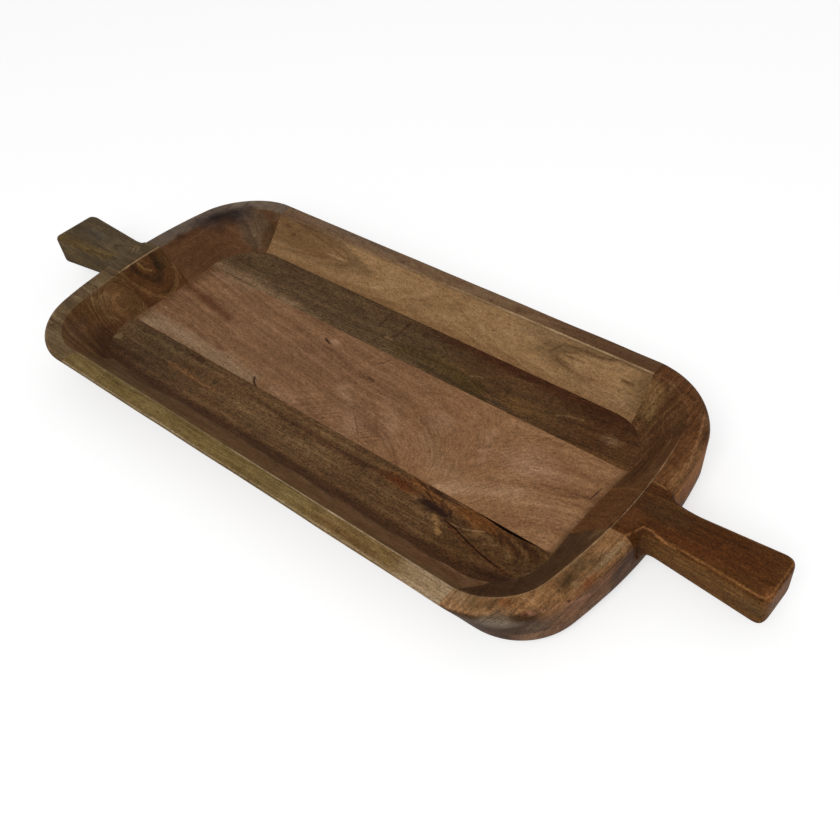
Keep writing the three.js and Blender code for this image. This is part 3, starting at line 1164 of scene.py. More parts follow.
# %% Pink-tan wood
def pink_tan_wood():
    wood = Wood("Pink-tan wood", 3.0, centre_figure)
    colours = (134, 97, 67), (158, 119, 87), (108, 73, 48)
    calm = fold_calm(wood)
    grow(wood, colours, 9.0, 3.2, contrast=0.65, grit=0.26, pores=0.35, calm=calm)
    pale, cream, deep = (164, 126, 96), (150, 122, 92), (102, 66, 42)
    tint(wood, past(wood, "X", 20.0, 150.0) * 0.85, (148, 107, 72))
    stain(wood, pale, (92, 12), (17, 12, 20), 0.6)
    stain(wood, pale, (183, 16), (32, 20, 20), 0.6)
    streak(wood, pale, ((135, 26), (148, -4)), 7.0, 0.4)
    stain(wood, pale, (225, -20), (26, 16, 20), 0.12)
    stain(wood, (116, 80, 54), (-62, 6), (70, 20, 20), 0.5)
    for colour, width, strength, *path in (
        (cream, 13.0, 0.8, (-250, -38), (-150, -40), (-92, -45)),
        (cream, 9.0, 0.4, (-245, 48), (-190, 51)),
        ((176, 138, 104), 9.0, 0.55, (138, -45), (165, -29), (192, -15)),
        (cream, 10.0, 0.25, (95, -8), (120, -22), (140, -30)),
        (pale, 8.0, 0.45, (-62, -42), (-34, -40)),
        (pale, 9.0, 0.45, (-8, -4), (16, -18), (34, -36)),
        (pale, 8.0, 0.35, (34, 6), (56, -10), (70, -30)),
        (deep, 3.0, 0.3, (-20, 6), (8, -8), (22, -18)),
        (deep, 2.4, 0.3, (14, 4), (40, -12), (56, -30)),
        (deep, 0.9, 0.55, (25, -24), (37, -33.5), (49, -44)),
        ((94, 58, 35), 7.5, 0.85, (-252, 18), (-215, 12), (-175, 5)),
        (deep, 6.0, 0.5, (-252, -12), (-222, -15)),
        (deep, 3.0, 0.4, (-245, 3), (-200, -3), (-150, -9)),
        (deep, 3.4, 0.35, (-235, -24), (-190, -26), (-140, -29)),
        (deep, 4.0, 0.35, (-160, -13), (-110, -17), (-40, -23)),
        (deep, 2.0, 0.3, (60, 12), (84, 3), (98, -7), (106, -20)),
        (deep, 1.3, 0.35, (52, -20), (76, -32), (94, -46)),
        (deep, 3.4, 0.25, (165, -16), (200, -1), (240, 12)),
        (deep, 2.4, 0.5, (203, 4), (222, 10), (248, 13)),
        (deep, 1.4, 0.35, (215, 0), (232, 8), (243, 14)),
    ):
        streak(wood, colour, path, width, strength)
    chatter_marks(wood, deep)
    knot = (62, 38, 24)
    streak(wood, knot, ((-87, -39), (-83, -44), (-76, -47.5)), 1.7, 0.8)
    streak(wood, knot, ((-71, 36), (-62, 33)), 2.0, 0.75)
    stain(wood, pale, (-60, 38), (6, 4, 4), 0.7)
    streak(wood, knot, ((-5, 37.5), (-1, 41), (1, 46)), 1.6, 0.6)
    streak(wood, knot, ((1, 19), (8, 18)), 1.5, 0.75)
    stain(wood, deep, (-8, 16), (16, 3, 4), 0.45)
    streak(wood, knot, ((241.5, 13), (243, 27)), 1.3, 0.55)
    # painted shade in the coves at both ends of the flat
    tint(wood, past(wood, "X", 241.0, 255.0) * 0.95, (80, 52, 28))
    tint(wood, past(wood, "X", -240.0, -257.0) * 0.9, (92, 61, 36))
    tint(wood, past(wood, "X", 270.0, 282.0) * 0.9, (96, 68, 48))
    crack_shade(wood, -60.0, 60.0)
    return oiled(wood)


dress("base_board_centre", pink_tan_wood())

# %% [markdown]
# ## The near board
#
# The near board is a dark olive brown with straight grain, and it holds the liveliest spot of the
# tray: a black knot with a long crack behind it. The rings close round the knot like a comet's
# tail, so this board's ring distance is measured from a pith that comes up at the knot. Beyond it
# the trunk swells, and the rings that come up there are drawn one by one along their arcs.

# %% The near board's rings
KNOT = (149.0, -63.0)


def near_figure(x, y, z):
    before = (x * -1 + KNOT[0]).combine("MAXIMUM", 0.0) * 0.02
    beyond = (x - KNOT[0]).combine("MAXIMUM", 0.0) * 0.24
    return root((y - KNOT[1]) ** 2 + (before + beyond) ** 2 + ((z - FLOOR_TOP) * 0.6) ** 2)


def knot_and_its_burr(wood):
    """The black knot, the rust before it, the glow beyond it and its thin dark lines."""
    rust, orange, brown = (90, 48, 22), (126, 80, 42), (62, 36, 20)
    stain(wood, (104, 66, 34), (118, -56), (44, 10, 12), 0.6)
    stain(wood, rust, (109, -59), (25, 7.5, 8), 1.0)
    streak(wood, orange, ((118, -50.5), (138, -53), (156, -58)), 4.5, 0.85)
    stain(wood, (114, 68, 31), (184, -53), (36, 8, 10), 0.8)
    stain(wood, (82, 48, 20), (226, -56), (30, 9, 10), 0.75)
    stain(wood, brown, (141, -49), (11, 4, 5), 0.75)
    streak(wood, brown, ((133, -48.5), (145, -49.5), (161, -49)), 3.0, 0.6)
    for path in (
        ((116, -48), (127, -49.5), (139, -55.5)),
        ((141, -54.5), (148.5, -55), (155, -59), (155.5, -65)),
        ((150, -54), (160, -58), (167, -64)),
    ):
        streak(wood, (56, 31, 17), path, 1.5, 0.8, 0.25)
    stain(wood, (50, 28, 18), KNOT, (18, 6, 7), 1.0, 0.5)
    streak(wood, (36, 19, 12), ((134, -64), (141, -62), (162, -63.5)), 3.2, 0.9)
    streak(wood, (112, 80, 48), ((135, -66), (145, -69.4), (154, -69)), 1.4, 0.5)
    for path in (
        ((139, -61), (132, -58), (126, -58)),
        ((141, -64), (134, -68), (128, -68)),
        ((146, -65), (146, -71), (150, -75)),
    ):
        streak(wood, (44, 24, 15), path, 0.9, 0.45, 0.25)
    streak(wood, (74, 38, 19), ((170.6, -71.5), (182, -74.5), (208, -81)), 1.2, 0.6)


def rings_beyond_the_knot(wood, pale, dark):
    """The rings bulge towards the end wall, where the cut goes through the trunk's swelling."""
    for path in (
        ((198.6, -59), (208, -56), (213, -60), (214, -67), (208, -72.5)),
        ((206, -53.5), (216, -55), (225.4, -58), (231.4, -63.5), (232, -71)),
        ((226, -51), (235, -53), (243, -56), (246, -61)),
        ((190, -72), (196, -70), (200.5, -65)),
    ):
        streak(wood, dark, path, 2.2, 0.6, 0.6)
    for path in (
        ((208, -66), (213, -63), (218, -62), (223.7, -64.5), (225, -71)),
        ((217, -53), (223, -54.6), (231, -56.4), (237, -60), (239, -66)),
        ((192, -63), (202, -61), (207, -64), (203, -69)),
    ):
        streak(wood, pale, path, 2.2, 0.5, 0.6)


print("the knot lies at", KNOT)


# %% Dark olive wood
def dark_olive_wood():
    wood = Wood("Dark olive wood", 47.0, near_figure)
    colours = (98, 70, 43), (128, 96, 62), (64, 43, 25)
    grow(wood, colours, band=6.0, line=1.8, contrast=0.55, grit=0.4, pores=0.55)
    tint(wood, past(wood, "X", -120.0, -185.0) * 0.75, (80, 58, 37))
    stain(wood, (110, 83, 54), (-20, -77), (120, 16, 20), 0.5)
    stain(wood, (94, 73, 46), (-185, -54), (75, 7, 12), 0.5)
    streak(wood, (124, 82, 48), ((-170, -71), (-105, -73)), 3.2, 0.45)
    tint(wood, past(wood, "X", 150.0, 185.0) * 0.7, (84, 56, 29))
    # painted shade in the cove at the foot of the near wall
    tint(wood, past(wood, "Y", -84.0, -99.0) * 0.85, (70, 42, 22))
    brown = (66, 40, 23)
    # painted shade in the near left corner, where the walls meet the flat
    stain(wood, (66, 41, 23), (-236, -92, 22), (44, 20, 14), 0.8)
    streak(wood, brown, ((-162, -51.5), (-145, -51)), 3.8, 0.85)
    streak(wood, brown, ((-75, -58), (-20, -61), (30, -62), (96, -60)), 3.0, 0.6)
    streak(wood, brown, ((-5, -66), (60, -64), (95, -63)), 2.0, 0.5)
    stain(wood, brown, (40, -61), (60, 5, 6), 0.4)
    knot_and_its_burr(wood)
    burr = ((154, -69), (159.4, -72.2), (163, -77), (168, -80.5))
    streak(wood, (142, 104, 63), burr, 2.8, 0.9, 0.4)
    arc = ((162.3, -67.5), (176.5, -67.3), (187.4, -63.7), (195.4, -59.4))
    streak(wood, (156, 120, 82), arc, 0.9, 0.65)
    rings_beyond_the_knot(wood, (116, 86, 54), (56, 33, 18))
    tail = ((163, -67), (190, -73.5), (217, -79), (250, -81))
    streak(wood, (72, 36, 18), tail, 1.9, 0.75)
    stain(wood, (60, 33, 17), (230, -88, 20), (28, 10, 9), 0.8)
    stain(wood, (134, 108, 74), (-246, -75, 19), (4.5, 6, 5), 0.6)
    outside = past(wood, "X", 262.0, 276.0) * ramp(wood.z, 1.0, 6.0)
    tint(wood, outside * 0.9, (126, 92, 68))
    crack_shade(wood, -90.0, -40.0)
    return oiled(wood)


dress("base_board_near", dark_olive_wood())

# %% [markdown]
# ## The far board
#
# The far board changes along its length: olive with a cream band of sapwood at the left, green
# in the middle and red brown at the right, with two dark marks across the grain.

# %% Dark brown wood
def far_figure(x, y, z):
    fold = root((x - 118) ** 2 + 20.0**2)
    return y + falling(fold, 40.0) * 22 - x.combine("MAXIMUM", -120.0) * 0.05 + z * 0.2


def dark_brown_wood():
    wood = Wood("Dark brown wood", 71.0, far_figure)
    colours = (91, 69, 46), (116, 90, 60), (62, 43, 26)
    grow(wood, colours, band=7.0, line=2.0, contrast=0.65, grit=0.38, pores=0.5)
    tint(wood, past(wood, "X", 10.0, 90.0) * 0.75, (85, 57, 32))
    tint(wood, past(wood, "X", 150.0, 210.0) * 0.6, (80, 48, 24))
    stain(wood, (96, 66, 37), (236, 62), (20, 16, 9), 0.6)
    # painted shade in the cove along the foot of the far wall, fading towards the left, with a
    # darker band just under the rail
    foot = ramp(wood.x, -90.0, 0.0, 0.25, 1.0)
    tint(wood, past(wood, "Y", 78.0, 99.0) * foot * 0.6, (66, 41, 23))
    tint(wood, past(wood, "Y", 91.0, 97.0) * past(wood, "X", -20.0, 60.0) * 0.75, (66, 35, 18))
    cream = (134, 106, 78)
    streak(wood, cream, ((-252, 58), (-190, 58), (-135, 53)), 10.0, 0.85)
    streak(wood, cream, ((-150, 55), (-100, 52)), 5.0, 0.5)
    streak(wood, (77, 59, 28), ((-5, 66), (40, 69), (90, 61)), 11.0, 0.75)
    streak(wood, (104, 82, 50), ((0, 61), (45, 61), (85, 56)), 1.8, 0.35)
    streak(wood, (54, 42, 22), ((30, 57), (70, 56), (105, 54)), 3.4, 0.6)
    stain(wood, (58, 47, 34), (118, 56), (18, 3.4, 5), 0.6)
    stain(wood, (104, 73, 40), (134, 66), (34, 9, 9), 0.75)
    stain(wood, (62, 35, 18), (190, 91, 20), (55, 9, 9), 0.6)
    cross = (58, 34, 18)
    streak(wood, cross, ((-43, 97), (-41, 78)), 2.4, 0.6)
    streak(wood, cross, ((-18, 98), (-17, 78), (-22, 66)), 2.0, 0.65)
    streak(wood, cross, ((2, 98), (4, 90)), 2.0, 0.5)
    pale = (130, 100, 68)
    stain(wood, pale, (-21, 69), (6, 3.4, 4), 0.7)
    streak(wood, pale, ((74, 69), (79, 73), (86, 75)), 1.3, 0.55)
    streak(wood, pale, ((167, 73), (176, 78), (188, 80)), 1.3, 0.55)
    stain(wood, (120, 90, 62), (220, 73), (11, 7.5, 7), 0.8)
    tint(wood, past(wood, "X", 262.0, 276.0) * 0.9, (128, 86, 48))
    return oiled(wood)


dress("base_board_far", dark_brown_wood())

# %% [markdown]
# ## The rails
#
# Both rails are paler sapwood. The far one shows two pointed figures, where its rings come up to
# the carved wall: its pith lies just under the wall at both ends and deep under it in the middle.
# The near one is a plain olive yellow on top, cream at its right-hand end and pinkish inside.

# %% The far rail's rings
FAR_PITH = (119.0, 39.0)
FIGURE_RING = 17.0  # the ring that draws both pointed figures


def far_rail_figure(x, y, z):
    from_left, from_right = x + 240, x * -1 + 262
    dive = from_left.combine("MINIMUM", from_right).combine("MAXIMUM", 0.0) * 0.135
    return round_pith(y, z, FAR_PITH, dive)


print("the pointed figures follow the ring", FIGURE_RING, "mm from the far rail's pith")


# %% Golden wood
def golden_wood():
    wood = Wood("Golden wood", 89.0, far_rail_figure)
    colours = (155, 120, 81), (176, 142, 102), (126, 94, 60)
    grow(wood, colours, band=7.0, line=2.2, contrast=0.55, grit=0.22, pores=0.5)
    olive, brown = (112, 88, 60), (88, 58, 32)
    stain(wood, olive, (-185, 128, 49), (42, 8, 7), 0.7)
    stain(wood, olive, (118, 126, 46), (34, 8, 7), 0.6)
    upper = ramp(wood.z, 29.0, 37.0, 0.3, 1.0)
    ring_line(wood, olive, FIGURE_RING + 1.5, 3.6, 0.65, upper)
    ring_line(wood, brown, FIGURE_RING, 1.1, 0.35, upper)
    above = [(127.4, 118, 37.5), (137, 124, 44.5), (153.5, 125.7, 46.2), (177, 126.3, 46.9)]
    below = [(127.4, 118, 37.5), (142, 114, 33), (159, 112.3, 31.2), (180, 112.2, 31.2)]
    streak(wood, (84, 58, 34), above, 1.2, 0.55)
    streak(wood, (92, 62, 36), below, 1.1, 0.45)
    left_end = past(wood, "X", -108.0, -152.0) * past(wood, "Z", 25.0, 34.0)
    tint(wood, left_end * 0.8, (117, 86, 54))
    stain(wood, (166, 130, 92), (200, 105, 27), (30, 9, 7), 0.9)
    stain(wood, (134, 96, 64), (178, 114, 33), (26, 7, 7), 0.4)
    streak(wood, brown, [(-197, 129, 49.5), (-153, 123.7, 44), (-121, 118.7, 38.5)], 1.2, 0.6)
    streak(wood, brown, [(-208, 107.6, 26), (-165, 112, 31), (-120, 117, 36.5)], 1.1, 0.35)
    thread = [(-144, 117.2, 36.8), (-133, 117.8, 37.5), (-123, 117.4, 37)]
    streak(wood, colours[1], thread, 1.2, 0.5)
    stain(wood, brown, (-197.3, 120, 39.9), (4.5, 3, 3), 0.75)
    stain(wood, (96, 66, 40), (-206, 124, 44), (7, 4, 4), 0.55)
    streak(wood, brown, [(143, 119.2, 39.2), (152, 119.4, 39.4), (161, 119.8, 39.7)], 1.3, 0.6)
    streak(wood, brown, [(200.5, 119, 39), (211, 119.4, 39.2)], 1.9, 0.75)
    stain(wood, (112, 78, 50), (174, 113, 32), (12, 3, 3), 0.35)
    tint(wood, past(wood, "Z", 48.0, 50.8) * 0.85, (115, 88, 64))
    stain(wood, (112, 90, 74), (-120, 143, 51), (75, 8, 9), 0.6)
    stain(wood, (104, 76, 53), (-195, 131, 51), (30, 6, 6), 0.5)
    rim = past(wood, "Z", 48.5, 50.8)
    tint(wood, rim * past(wood, "X", 60.0, 110.0) * 0.4, (112, 77, 49))
    tint(wood, rim * past(wood, "X", 105.0, 150.0) * 0.85, (90, 61, 38))
    right_end = past(wood, "X", 198.0, 224.0) * past(wood, "Z", 50.6, 49.0)
    tint(wood, right_end * ramp(wood.z, 24.0, 36.0, 0.45, 0.9), (112, 84, 53))
    # painted shade at the foot of the wall, where it turns into the cove
    tint(wood, past(wood, "Z", 27.0, 21.0) * 0.5, (116, 80, 46))
    # the pale line along the lip is mostly a painted highlight, strongest towards the right, with
    # some wear
    right_part = ramp(wood.x, -20.0, 90.0, 0.15, 1.0)
    wear_and_highlight_arrises(wood, lip_side(wood) * right_part * 0.8)
    return oiled(wood)


dress("side_rail_far", golden_wood())


# %% Yellow-olive wood
def straight_figure(along, across, z):
    return across * 0.8 + z * 0.6


def yellow_olive_wood():
    wood = Wood("Yellow-olive wood", 103.0, straight_figure)
    colours = (115, 93, 52), (140, 117, 74), (88, 67, 36)
    grow(wood, colours, band=4.5, line=1.6, contrast=0.75, grit=0.27, pores=0.5)
    tint(wood, past(wood, "Z", 49.8, 46.0) * 0.9, (108, 77, 49))
    left_inside = past(wood, "X", -60.0, -160.0) * past(wood, "Z", 49.0, 40.0)
    tint(wood, left_inside * 0.7, (80, 58, 36))
    # painted glint: a pale band on the inner wall just under the lip
    stain(wood, (110, 84, 54), (-170, -121, 41), (36, 4, 4), 0.5)
    stain(wood, (110, 72, 45), (190, -108, 28), (60, 22, 14), 0.6)
    # painted shade along the foot of the near wall
    streak(wood, (66, 42, 24), [(-190, -99, 21), (185, -99, 21)], 6.5, 0.85)
    rim = past(wood, "Y", -127.0, -129.0)
    tint(wood, rim * past(wood, "X", -10.0, 70.0) * 0.35, (126, 104, 64))
    tint(wood, rim * past(wood, "X", 80.0, 130.0) * 0.65, (127, 97, 58))
    streak(wood, (96, 64, 33), [(104, -139, 51), (135, -140, 50.5), (163, -140, 50)], 4.0, 0.5)
    tint(wood, rim * past(wood, "X", 176.0, 201.0) * 0.9, (164, 137, 103))
    lip = lip_side(wood)
    # both pale edges are partly wear and partly a painted highlight; the lip's is the stronger one
    wear_and_highlight_arrises(wood, lip * ramp(wood.x, -20.0, 90.0, 0.3, 1.0), (216, 188, 156))
    wear_and_highlight_arrises(wood, (1 - lip) * 0.6, (160, 140, 112))
    return oiled(wood)


dress("side_rail_near", yellow_olive_wood())

# %% [markdown]
# ## The corner blocks
#
# The grain of the near left block runs along the tray, so its sloping end wall cuts straight
# across the rings and shows them as circles. The other three blocks were glued in with their
# grain across the tray, and their streaks follow the end walls.

# %% Ringed brown wood, near left
def near_left_figure(along, across, z):
    return round_pith(across, z, (-50.0, 31.0))


def ringed_brown_wood():
    wood = Wood("Ringed brown wood", 127.0, near_left_figure)
    colours = (94, 64, 36), (126, 92, 58), (68, 44, 24)
    grow(wood, colours, band=5.0, line=1.8, contrast=0.75, grit=0.23, pores=0.45)
    stain(wood, (114, 80, 47), (-268, -54, 36), (22, 24, 14), 0.6)
    # painted shade in the near left corner, where the walls meet the flat
    stain(wood, (62, 37, 20), (-238, -92, 22), (46, 32, 22), 0.95)
    stain(wood, (90, 62, 33), (-270, -88, 44), (24, 26, 11), 0.5)
    stain(wood, (88, 54, 30), (-252, -62, 24), (20, 16, 9), 0.5)
    streak(wood, (132, 98, 62), [(-268, -67, 37), (-264, -68, 31), (-258, -62, 25)], 2.2, 0.45)
    tint(wood, past(wood, "Z", 49.2, 50.8) * 0.85, (102, 81, 54))
    stain(wood, (113, 91, 64), (-288, -62, 51), (10, 34, 6), 0.5)
    stain(wood, (120, 97, 65), (-288, -104, 51), (14, 12, 6), 0.5)
    stain(wood, (92, 64, 46), (-262, -104, 42), (16, 20, 9), 0.5)
    stain(wood, (124, 94, 60), (-276, -62, 43), (14, 14, 7), 0.7)
    crack = (52, 36, 24)
    streak(wood, crack, [(-270, -112.4, 51), (-273, -121.5, 50.8)], 1.1, 0.6)
    streak(wood, crack, [(-274.6, -123.9, 50.7), (-270.9, -108.5, 50.3)], 0.9, 0.4)
    # a faint pale edge, partly wear and partly a painted highlight
    wear_and_highlight_arrises(wood, 0.12)
    return oiled(wood)


dress("corner_block_near_left", ringed_brown_wood())


# %% Red-brown wood, far left
def far_left_figure(along, across, z):
    return round_pith(across, z, (-300.0, -30.0))


def red_brown_wood():
    wood = Wood("Red-brown wood", 149.0, far_left_figure, grain="Y")
    colours = (96, 64, 40), (120, 85, 56), (70, 45, 28)
    grow(wood, colours, band=7.0, line=2.4, contrast=0.6, grit=0.18, pores=0.4)
    smoke, soot = (68, 53, 46), (46, 36, 32)
    stain(wood, (94, 62, 37), (-262, 60, 30), (16, 26, 10), 0.5)
    tint(wood, past(wood, "Z", 48.8, 50.6) * 0.9, (113, 96, 80))
    streak(wood, (96, 75, 54), [(-248, 108, 44), (-238, 110, 30)], 17.0, 0.9, 0.2, 0.7)
    streak(wood, (84, 58, 35), [(-226, 115, 41), (-226, 107, 28)], 9.0, 0.9, 0.2, 0.5)
    stain(wood, (102, 80, 60), (-226, 122, 48), (9, 9, 6), 0.85)
    stain(wood, (130, 106, 80), (-242, 105, 31.4), (3, 3, 3), 0.5)
    streak(wood, smoke, [(-287, 70, 51), (-276, 94, 47), (-262, 115, 48)], 12.0, 0.95)
    streak(wood, soot, [(-281, 86, 50), (-275, 97, 46), (-267, 107, 49)], 7.0, 0.95)
    stain(wood, (76, 50, 34), (-270, 88, 42), (9, 18, 9), 0.6)
    stain(wood, (66, 42, 28), (-285, 45.2, 49.6), (4.5, 6, 4), 0.8)
    return oiled(wood)


dress("corner_block_far_left", red_brown_wood())

# %% The right-hand blocks' rings and the near one's rim
RIGHT_PITH = (380.0, -40.0)


def right_end_figure(along, across, z):
    return round_pith(across, z, RIGHT_PITH)


def mark_near_right_rim(wood):
    """Green, orange and cream patches of the burr wood that follow one another round the rim, and a
    painted highlight along its outer rounded edge at the end.
    """
    green, moss, fire = (80, 57, 33), (98, 74, 46), (122, 72, 38)
    stain(wood, (148, 115, 80), (233, -132, 51), (18, 13, 5), 0.75)
    stain(wood, green, (257.4, -124.5, 51), (4, 7.5, 6), 0.75)
    stain(wood, (112, 95, 76), (266, -132, 48), (8, 10, 8), 0.9)
    stain(wood, moss, (248, -131, 51), (10, 9, 5), 0.5)
    stain(wood, fire, (264.5, -118, 51), (6, 5, 4.5), 0.7)
    stain(wood, (164, 120, 80), (261, -133, 50.5), (4.5, 3.4, 3.4), 0.9)
    stain(wood, (140, 100, 62), (279, -101, 50.5), (8, 10, 4), 0.6)
    stain(wood, green, (287, -79, 50.5), (7.5, 15, 5), 1.0)
    stain(wood, moss, (287, -62, 50.5), (8, 17, 5), 0.8)
    stain(wood, (88, 64, 40), (296, -53, 50), (6, 14, 5), 0.8)
    # painted highlight along the rim's rounded outer edge at the end
    streak(wood, (140, 112, 78), [(299, -30, 49.5), (298, -54, 49.5), (293, -78, 49)], 3.4, 0.8)
    specks = ramp(clouds(wood.place, (1.8, 1.8, 1.8), 1.0, 5.0), 0.7, 1.1)
    tint(wood, specks * 0.5, (98, 54, 32))


print("the pith of both right-hand blocks lies under the tray, at x and z", RIGHT_PITH)


# %% Mottled tan wood, near right
def mottled_tan_wood():
    wood = Wood("Mottled tan wood", 167.0, right_end_figure, grain="Y")
    colours = (140, 100, 63), (170, 128, 88), (94, 64, 37)
    grow(wood, colours, band=5.0, line=1.8, contrast=0.7, grit=0.3, pores=0.5)
    tint(wood, past(wood, "Z", 46.0, 38.0) * 0.8, (130, 90, 60))
    inside = past(wood, "Z", 50.2, 47.5)
    within = ramp(wood.x, 284.0, 290.0, 1.0, 0.0)
    tint(wood, inside * within * 0.95, (66, 44, 25))
    stain(wood, (118, 85, 55), (277, -24, 44), (10, 18, 9), 0.6)
    stain(wood, (84, 56, 30), (276, -72, 45), (12, 26, 9), 0.5)
    streak(wood, (66, 42, 24), [(263, -45, 31), (266, -28, 34)], 1.5, 0.6)
    stain(wood, (66, 39, 22), (243, -106, 32), (18, 13, 13), 0.8)
    mark_near_right_rim(wood)
    stain(wood, (134, 80, 46), (298, -70, 46), (7, 14, 7), 0.9)
    stain(wood, (116, 80, 56), (298, -76, 34), (8, 26, 14), 0.6)
    streak(wood, (168, 118, 90), [(281, -113, 47), (292, -92, 43), (299, -70, 32)], 2.6, 0.8)
    streak(wood, (140, 70, 50), [(277, -117, 47.5), (288, -99, 46), (296, -80, 42)], 1.8, 0.6)
    stain(wood, (132, 114, 93), (266, -131, 40), (16, 20, 12), 0.9)
    stain(wood, (98, 76, 58), (285, -108, 28), (14, 20, 14), 0.7)
    stain(wood, (76, 52, 36), (302, -36, 30), (8, 14, 20), 0.8)
    stain(wood, (20, 12, 10), (295, -88.2, 43.6), (1.6, 1.6, 1.6), 0.9, 0.0)
    stain(wood, (52, 30, 20), (306, -27, 34), (9, 9, 16), 0.85)
    stain(wood, (126, 78, 50), (303, -52, 40), (6, 12, 10), 0.5)
    # the pale line along the lip is partly wear and partly a painted highlight
    wear_and_highlight_arrises(wood, lip_side(wood) * 0.75)
    return oiled(wood)


dress("corner_block_near_right", mottled_tan_wood())


# %% Rust-brown wood, far right
def rust_brown_wood():
    wood = Wood("Rust-brown wood", 181.0, right_end_figure, grain="Y")
    colours = (97, 60, 32), (124, 84, 50), (66, 39, 19)
    grow(wood, colours, band=5.0, line=2.0, contrast=0.65, grit=0.36, pores=0.5)
    tint(wood, past(wood, "Z", 50.2, 47.5) * 0.85, (86, 56, 31))
    streak(wood, (114, 84, 50), [(232, 120, 42), (238, 102, 28)], 8.0, 0.7)
    stain(wood, (96, 66, 40), (243, 125, 49), (9, 10, 7), 0.6)
    stain(wood, (76, 46, 25), (256, 86, 28), (18, 26, 10), 0.6)
    streak(wood, (136, 104, 70), [(269.5, 70, 41.2), (269, 79, 41)], 1.6, 0.6)
    streak(wood, (112, 80, 50), [(272, 50, 42), (262, 96, 41)], 4.0, 0.4)
    streak(wood, (46, 28, 16), [(288, 94, 50.9), (285, 100, 51)], 1.4, 0.7)
    streak(wood, (62, 36, 18), [(258, 124, 51), (270, 118, 51)], 1.8, 0.5)
    tint(wood, past(wood, "Z", 47.0, 42.0) * past(wood, "X", 286.0, 292.0) * 0.9, (144, 86, 28))
    stain(wood, (118, 90, 56), (228, 108, 34), (10, 16, 18), 0.6)
    # painted light: the outer end face made paler where light falls on the right-facing side
    stain(wood, (140, 98, 60), (300, 58, 48), (9, 44, 9), 0.85)
    stain(wood, (120, 84, 53), (286, 106, 51), (9, 9, 6), 0.7)
    stain(wood, (129, 94, 57), (228, 120, 45), (12, 9, 9), 0.8)
    streak(wood, (124, 90, 54), [(229, 116, 40), (231, 108, 32)], 7.0, 0.6)
    # painted highlight along the rim's rounded outer edge towards the handle
    shoulder = [(279.7, 112.6, 51), (288, 92, 50.8), (292, 79, 50.5)]
    shoulder += [(296.5, 64, 49.9), (299.6, 50, 49.2), (304, 30, 46.3)]
    streak(wood, (168, 120, 80), shoulder, 1.5, 0.55, 0.4)
    # the pale lip line is partly wear and partly a painted highlight, weaker towards the far side
    near_part = ramp(wood.y, 40.0, 90.0, 0.4, 0.08)
    wear_and_highlight_arrises(wood, lip_side(wood) * near_part)
    return oiled(wood)


dress("corner_block_far_right", rust_brown_wood())

# %% [markdown]
# ## The handle blocks
#
# Their grain runs along the handles for strength. The left one was cut so close to the pith that
# its end wall, inside the tray, shows a whole eye of rings, while the same rings run along the
# top of the handle as straight lines. A solid pattern gives both from one pith.

# %% The eye of the left block
EYE = (-3.8, 47.4)


def eye_figure(along, across, z):
    return round_pith(across, z, EYE)


def draw_eye(wood, wall):
    """A pale heart, a dark ring and a thin pale one, on the end wall only."""
    for at, width, strength, colour in (
        (0.0, 7.0, 0.8, (110, 74, 43)),
        (12.0, 5.0, 0.9, (54, 34, 17)),
        (24.5, 2.6, 0.45, (124, 90, 54)),
    ):
        away = (wood.ring - at).combine("ABSOLUTE") + wood.ragged * 0.5
        tint(wood, wall * ramp(away, 0.3, width, strength, 0.0, soft=True), colour)


print("the eye's pith runs along the handle at y and z", EYE)


# %% Grey-olive wood, left
def grey_olive_wood():
    wood = Wood("Grey-olive wood", 199.0, eye_figure)
    colours = (82, 66, 44), (110, 90, 62), (56, 42, 25)
    grow(wood, colours, band=6.0, line=1.8, contrast=0.7, grit=0.23, pores=0.5)
    wall = past(wood, "X", -293.0, -284.0)
    tint(wood, wall * 0.95, (82, 51, 26))
    draw_eye(wood, wall)
    stain(wood, (46, 34, 22), (-278, 6, 41), (8, 5.5, 6), 0.85)
    pale_path = [(-286, -9, 48.5), (-280, -7.5, 43), (-276.5, -3, 40)]
    streak(wood, (140, 108, 62), pale_path, 1.8, 0.6)
    stain(wood, (40, 26, 16), (-284, -5, 47), (3, 2, 2), 0.6)
    stain(wood, (78, 54, 30), (-276, 14, 42), (12, 9, 9), 0.6)
    streak(wood, (106, 83, 44), [(-396, -25, 49.5), (-350, -22, 50), (-318, -18, 50)], 7.0, 0.7)
    stain(wood, (80, 70, 56), (-365, -2, 51), (28, 9, 8), 0.6)
    bar_path = [(-350, -25, 50.5), (-322, -21, 50.5), (-309, -20, 50.5)]
    streak(wood, (58, 42, 24), bar_path, 2.0, 0.5)
    streak(wood, (60, 45, 26), [(-345, -14, 51), (-320, -15, 51), (-309, -19, 51)], 2.2, 0.45)
    pale = (140, 116, 82)
    streak(wood, pale, [(-300, 2, 51), (-305, 7, 50.5), (-306, 14, 49)], 1.1, 0.45)
    streak(wood, pale, [(-303, -3, 51), (-309, 6, 51), (-310, 12, 50)], 1.1, 0.4)
    outside = past(wood, "X", -300.0, -306.0) * past(wood, "Z", 46.0, 40.0)
    tint(wood, outside * 0.6, (79, 60, 28))
    # the pale lip line is partly wear and partly a painted highlight
    wear_and_highlight_arrises(wood, lip_side(wood) * 0.5)
    return oiled(wood)


dress("handle_left", grey_olive_wood())


# %% Deep red wood, right
def deep_red_figure(along, across, z):
    return round_pith(across, z, (-30.0, 20.0))


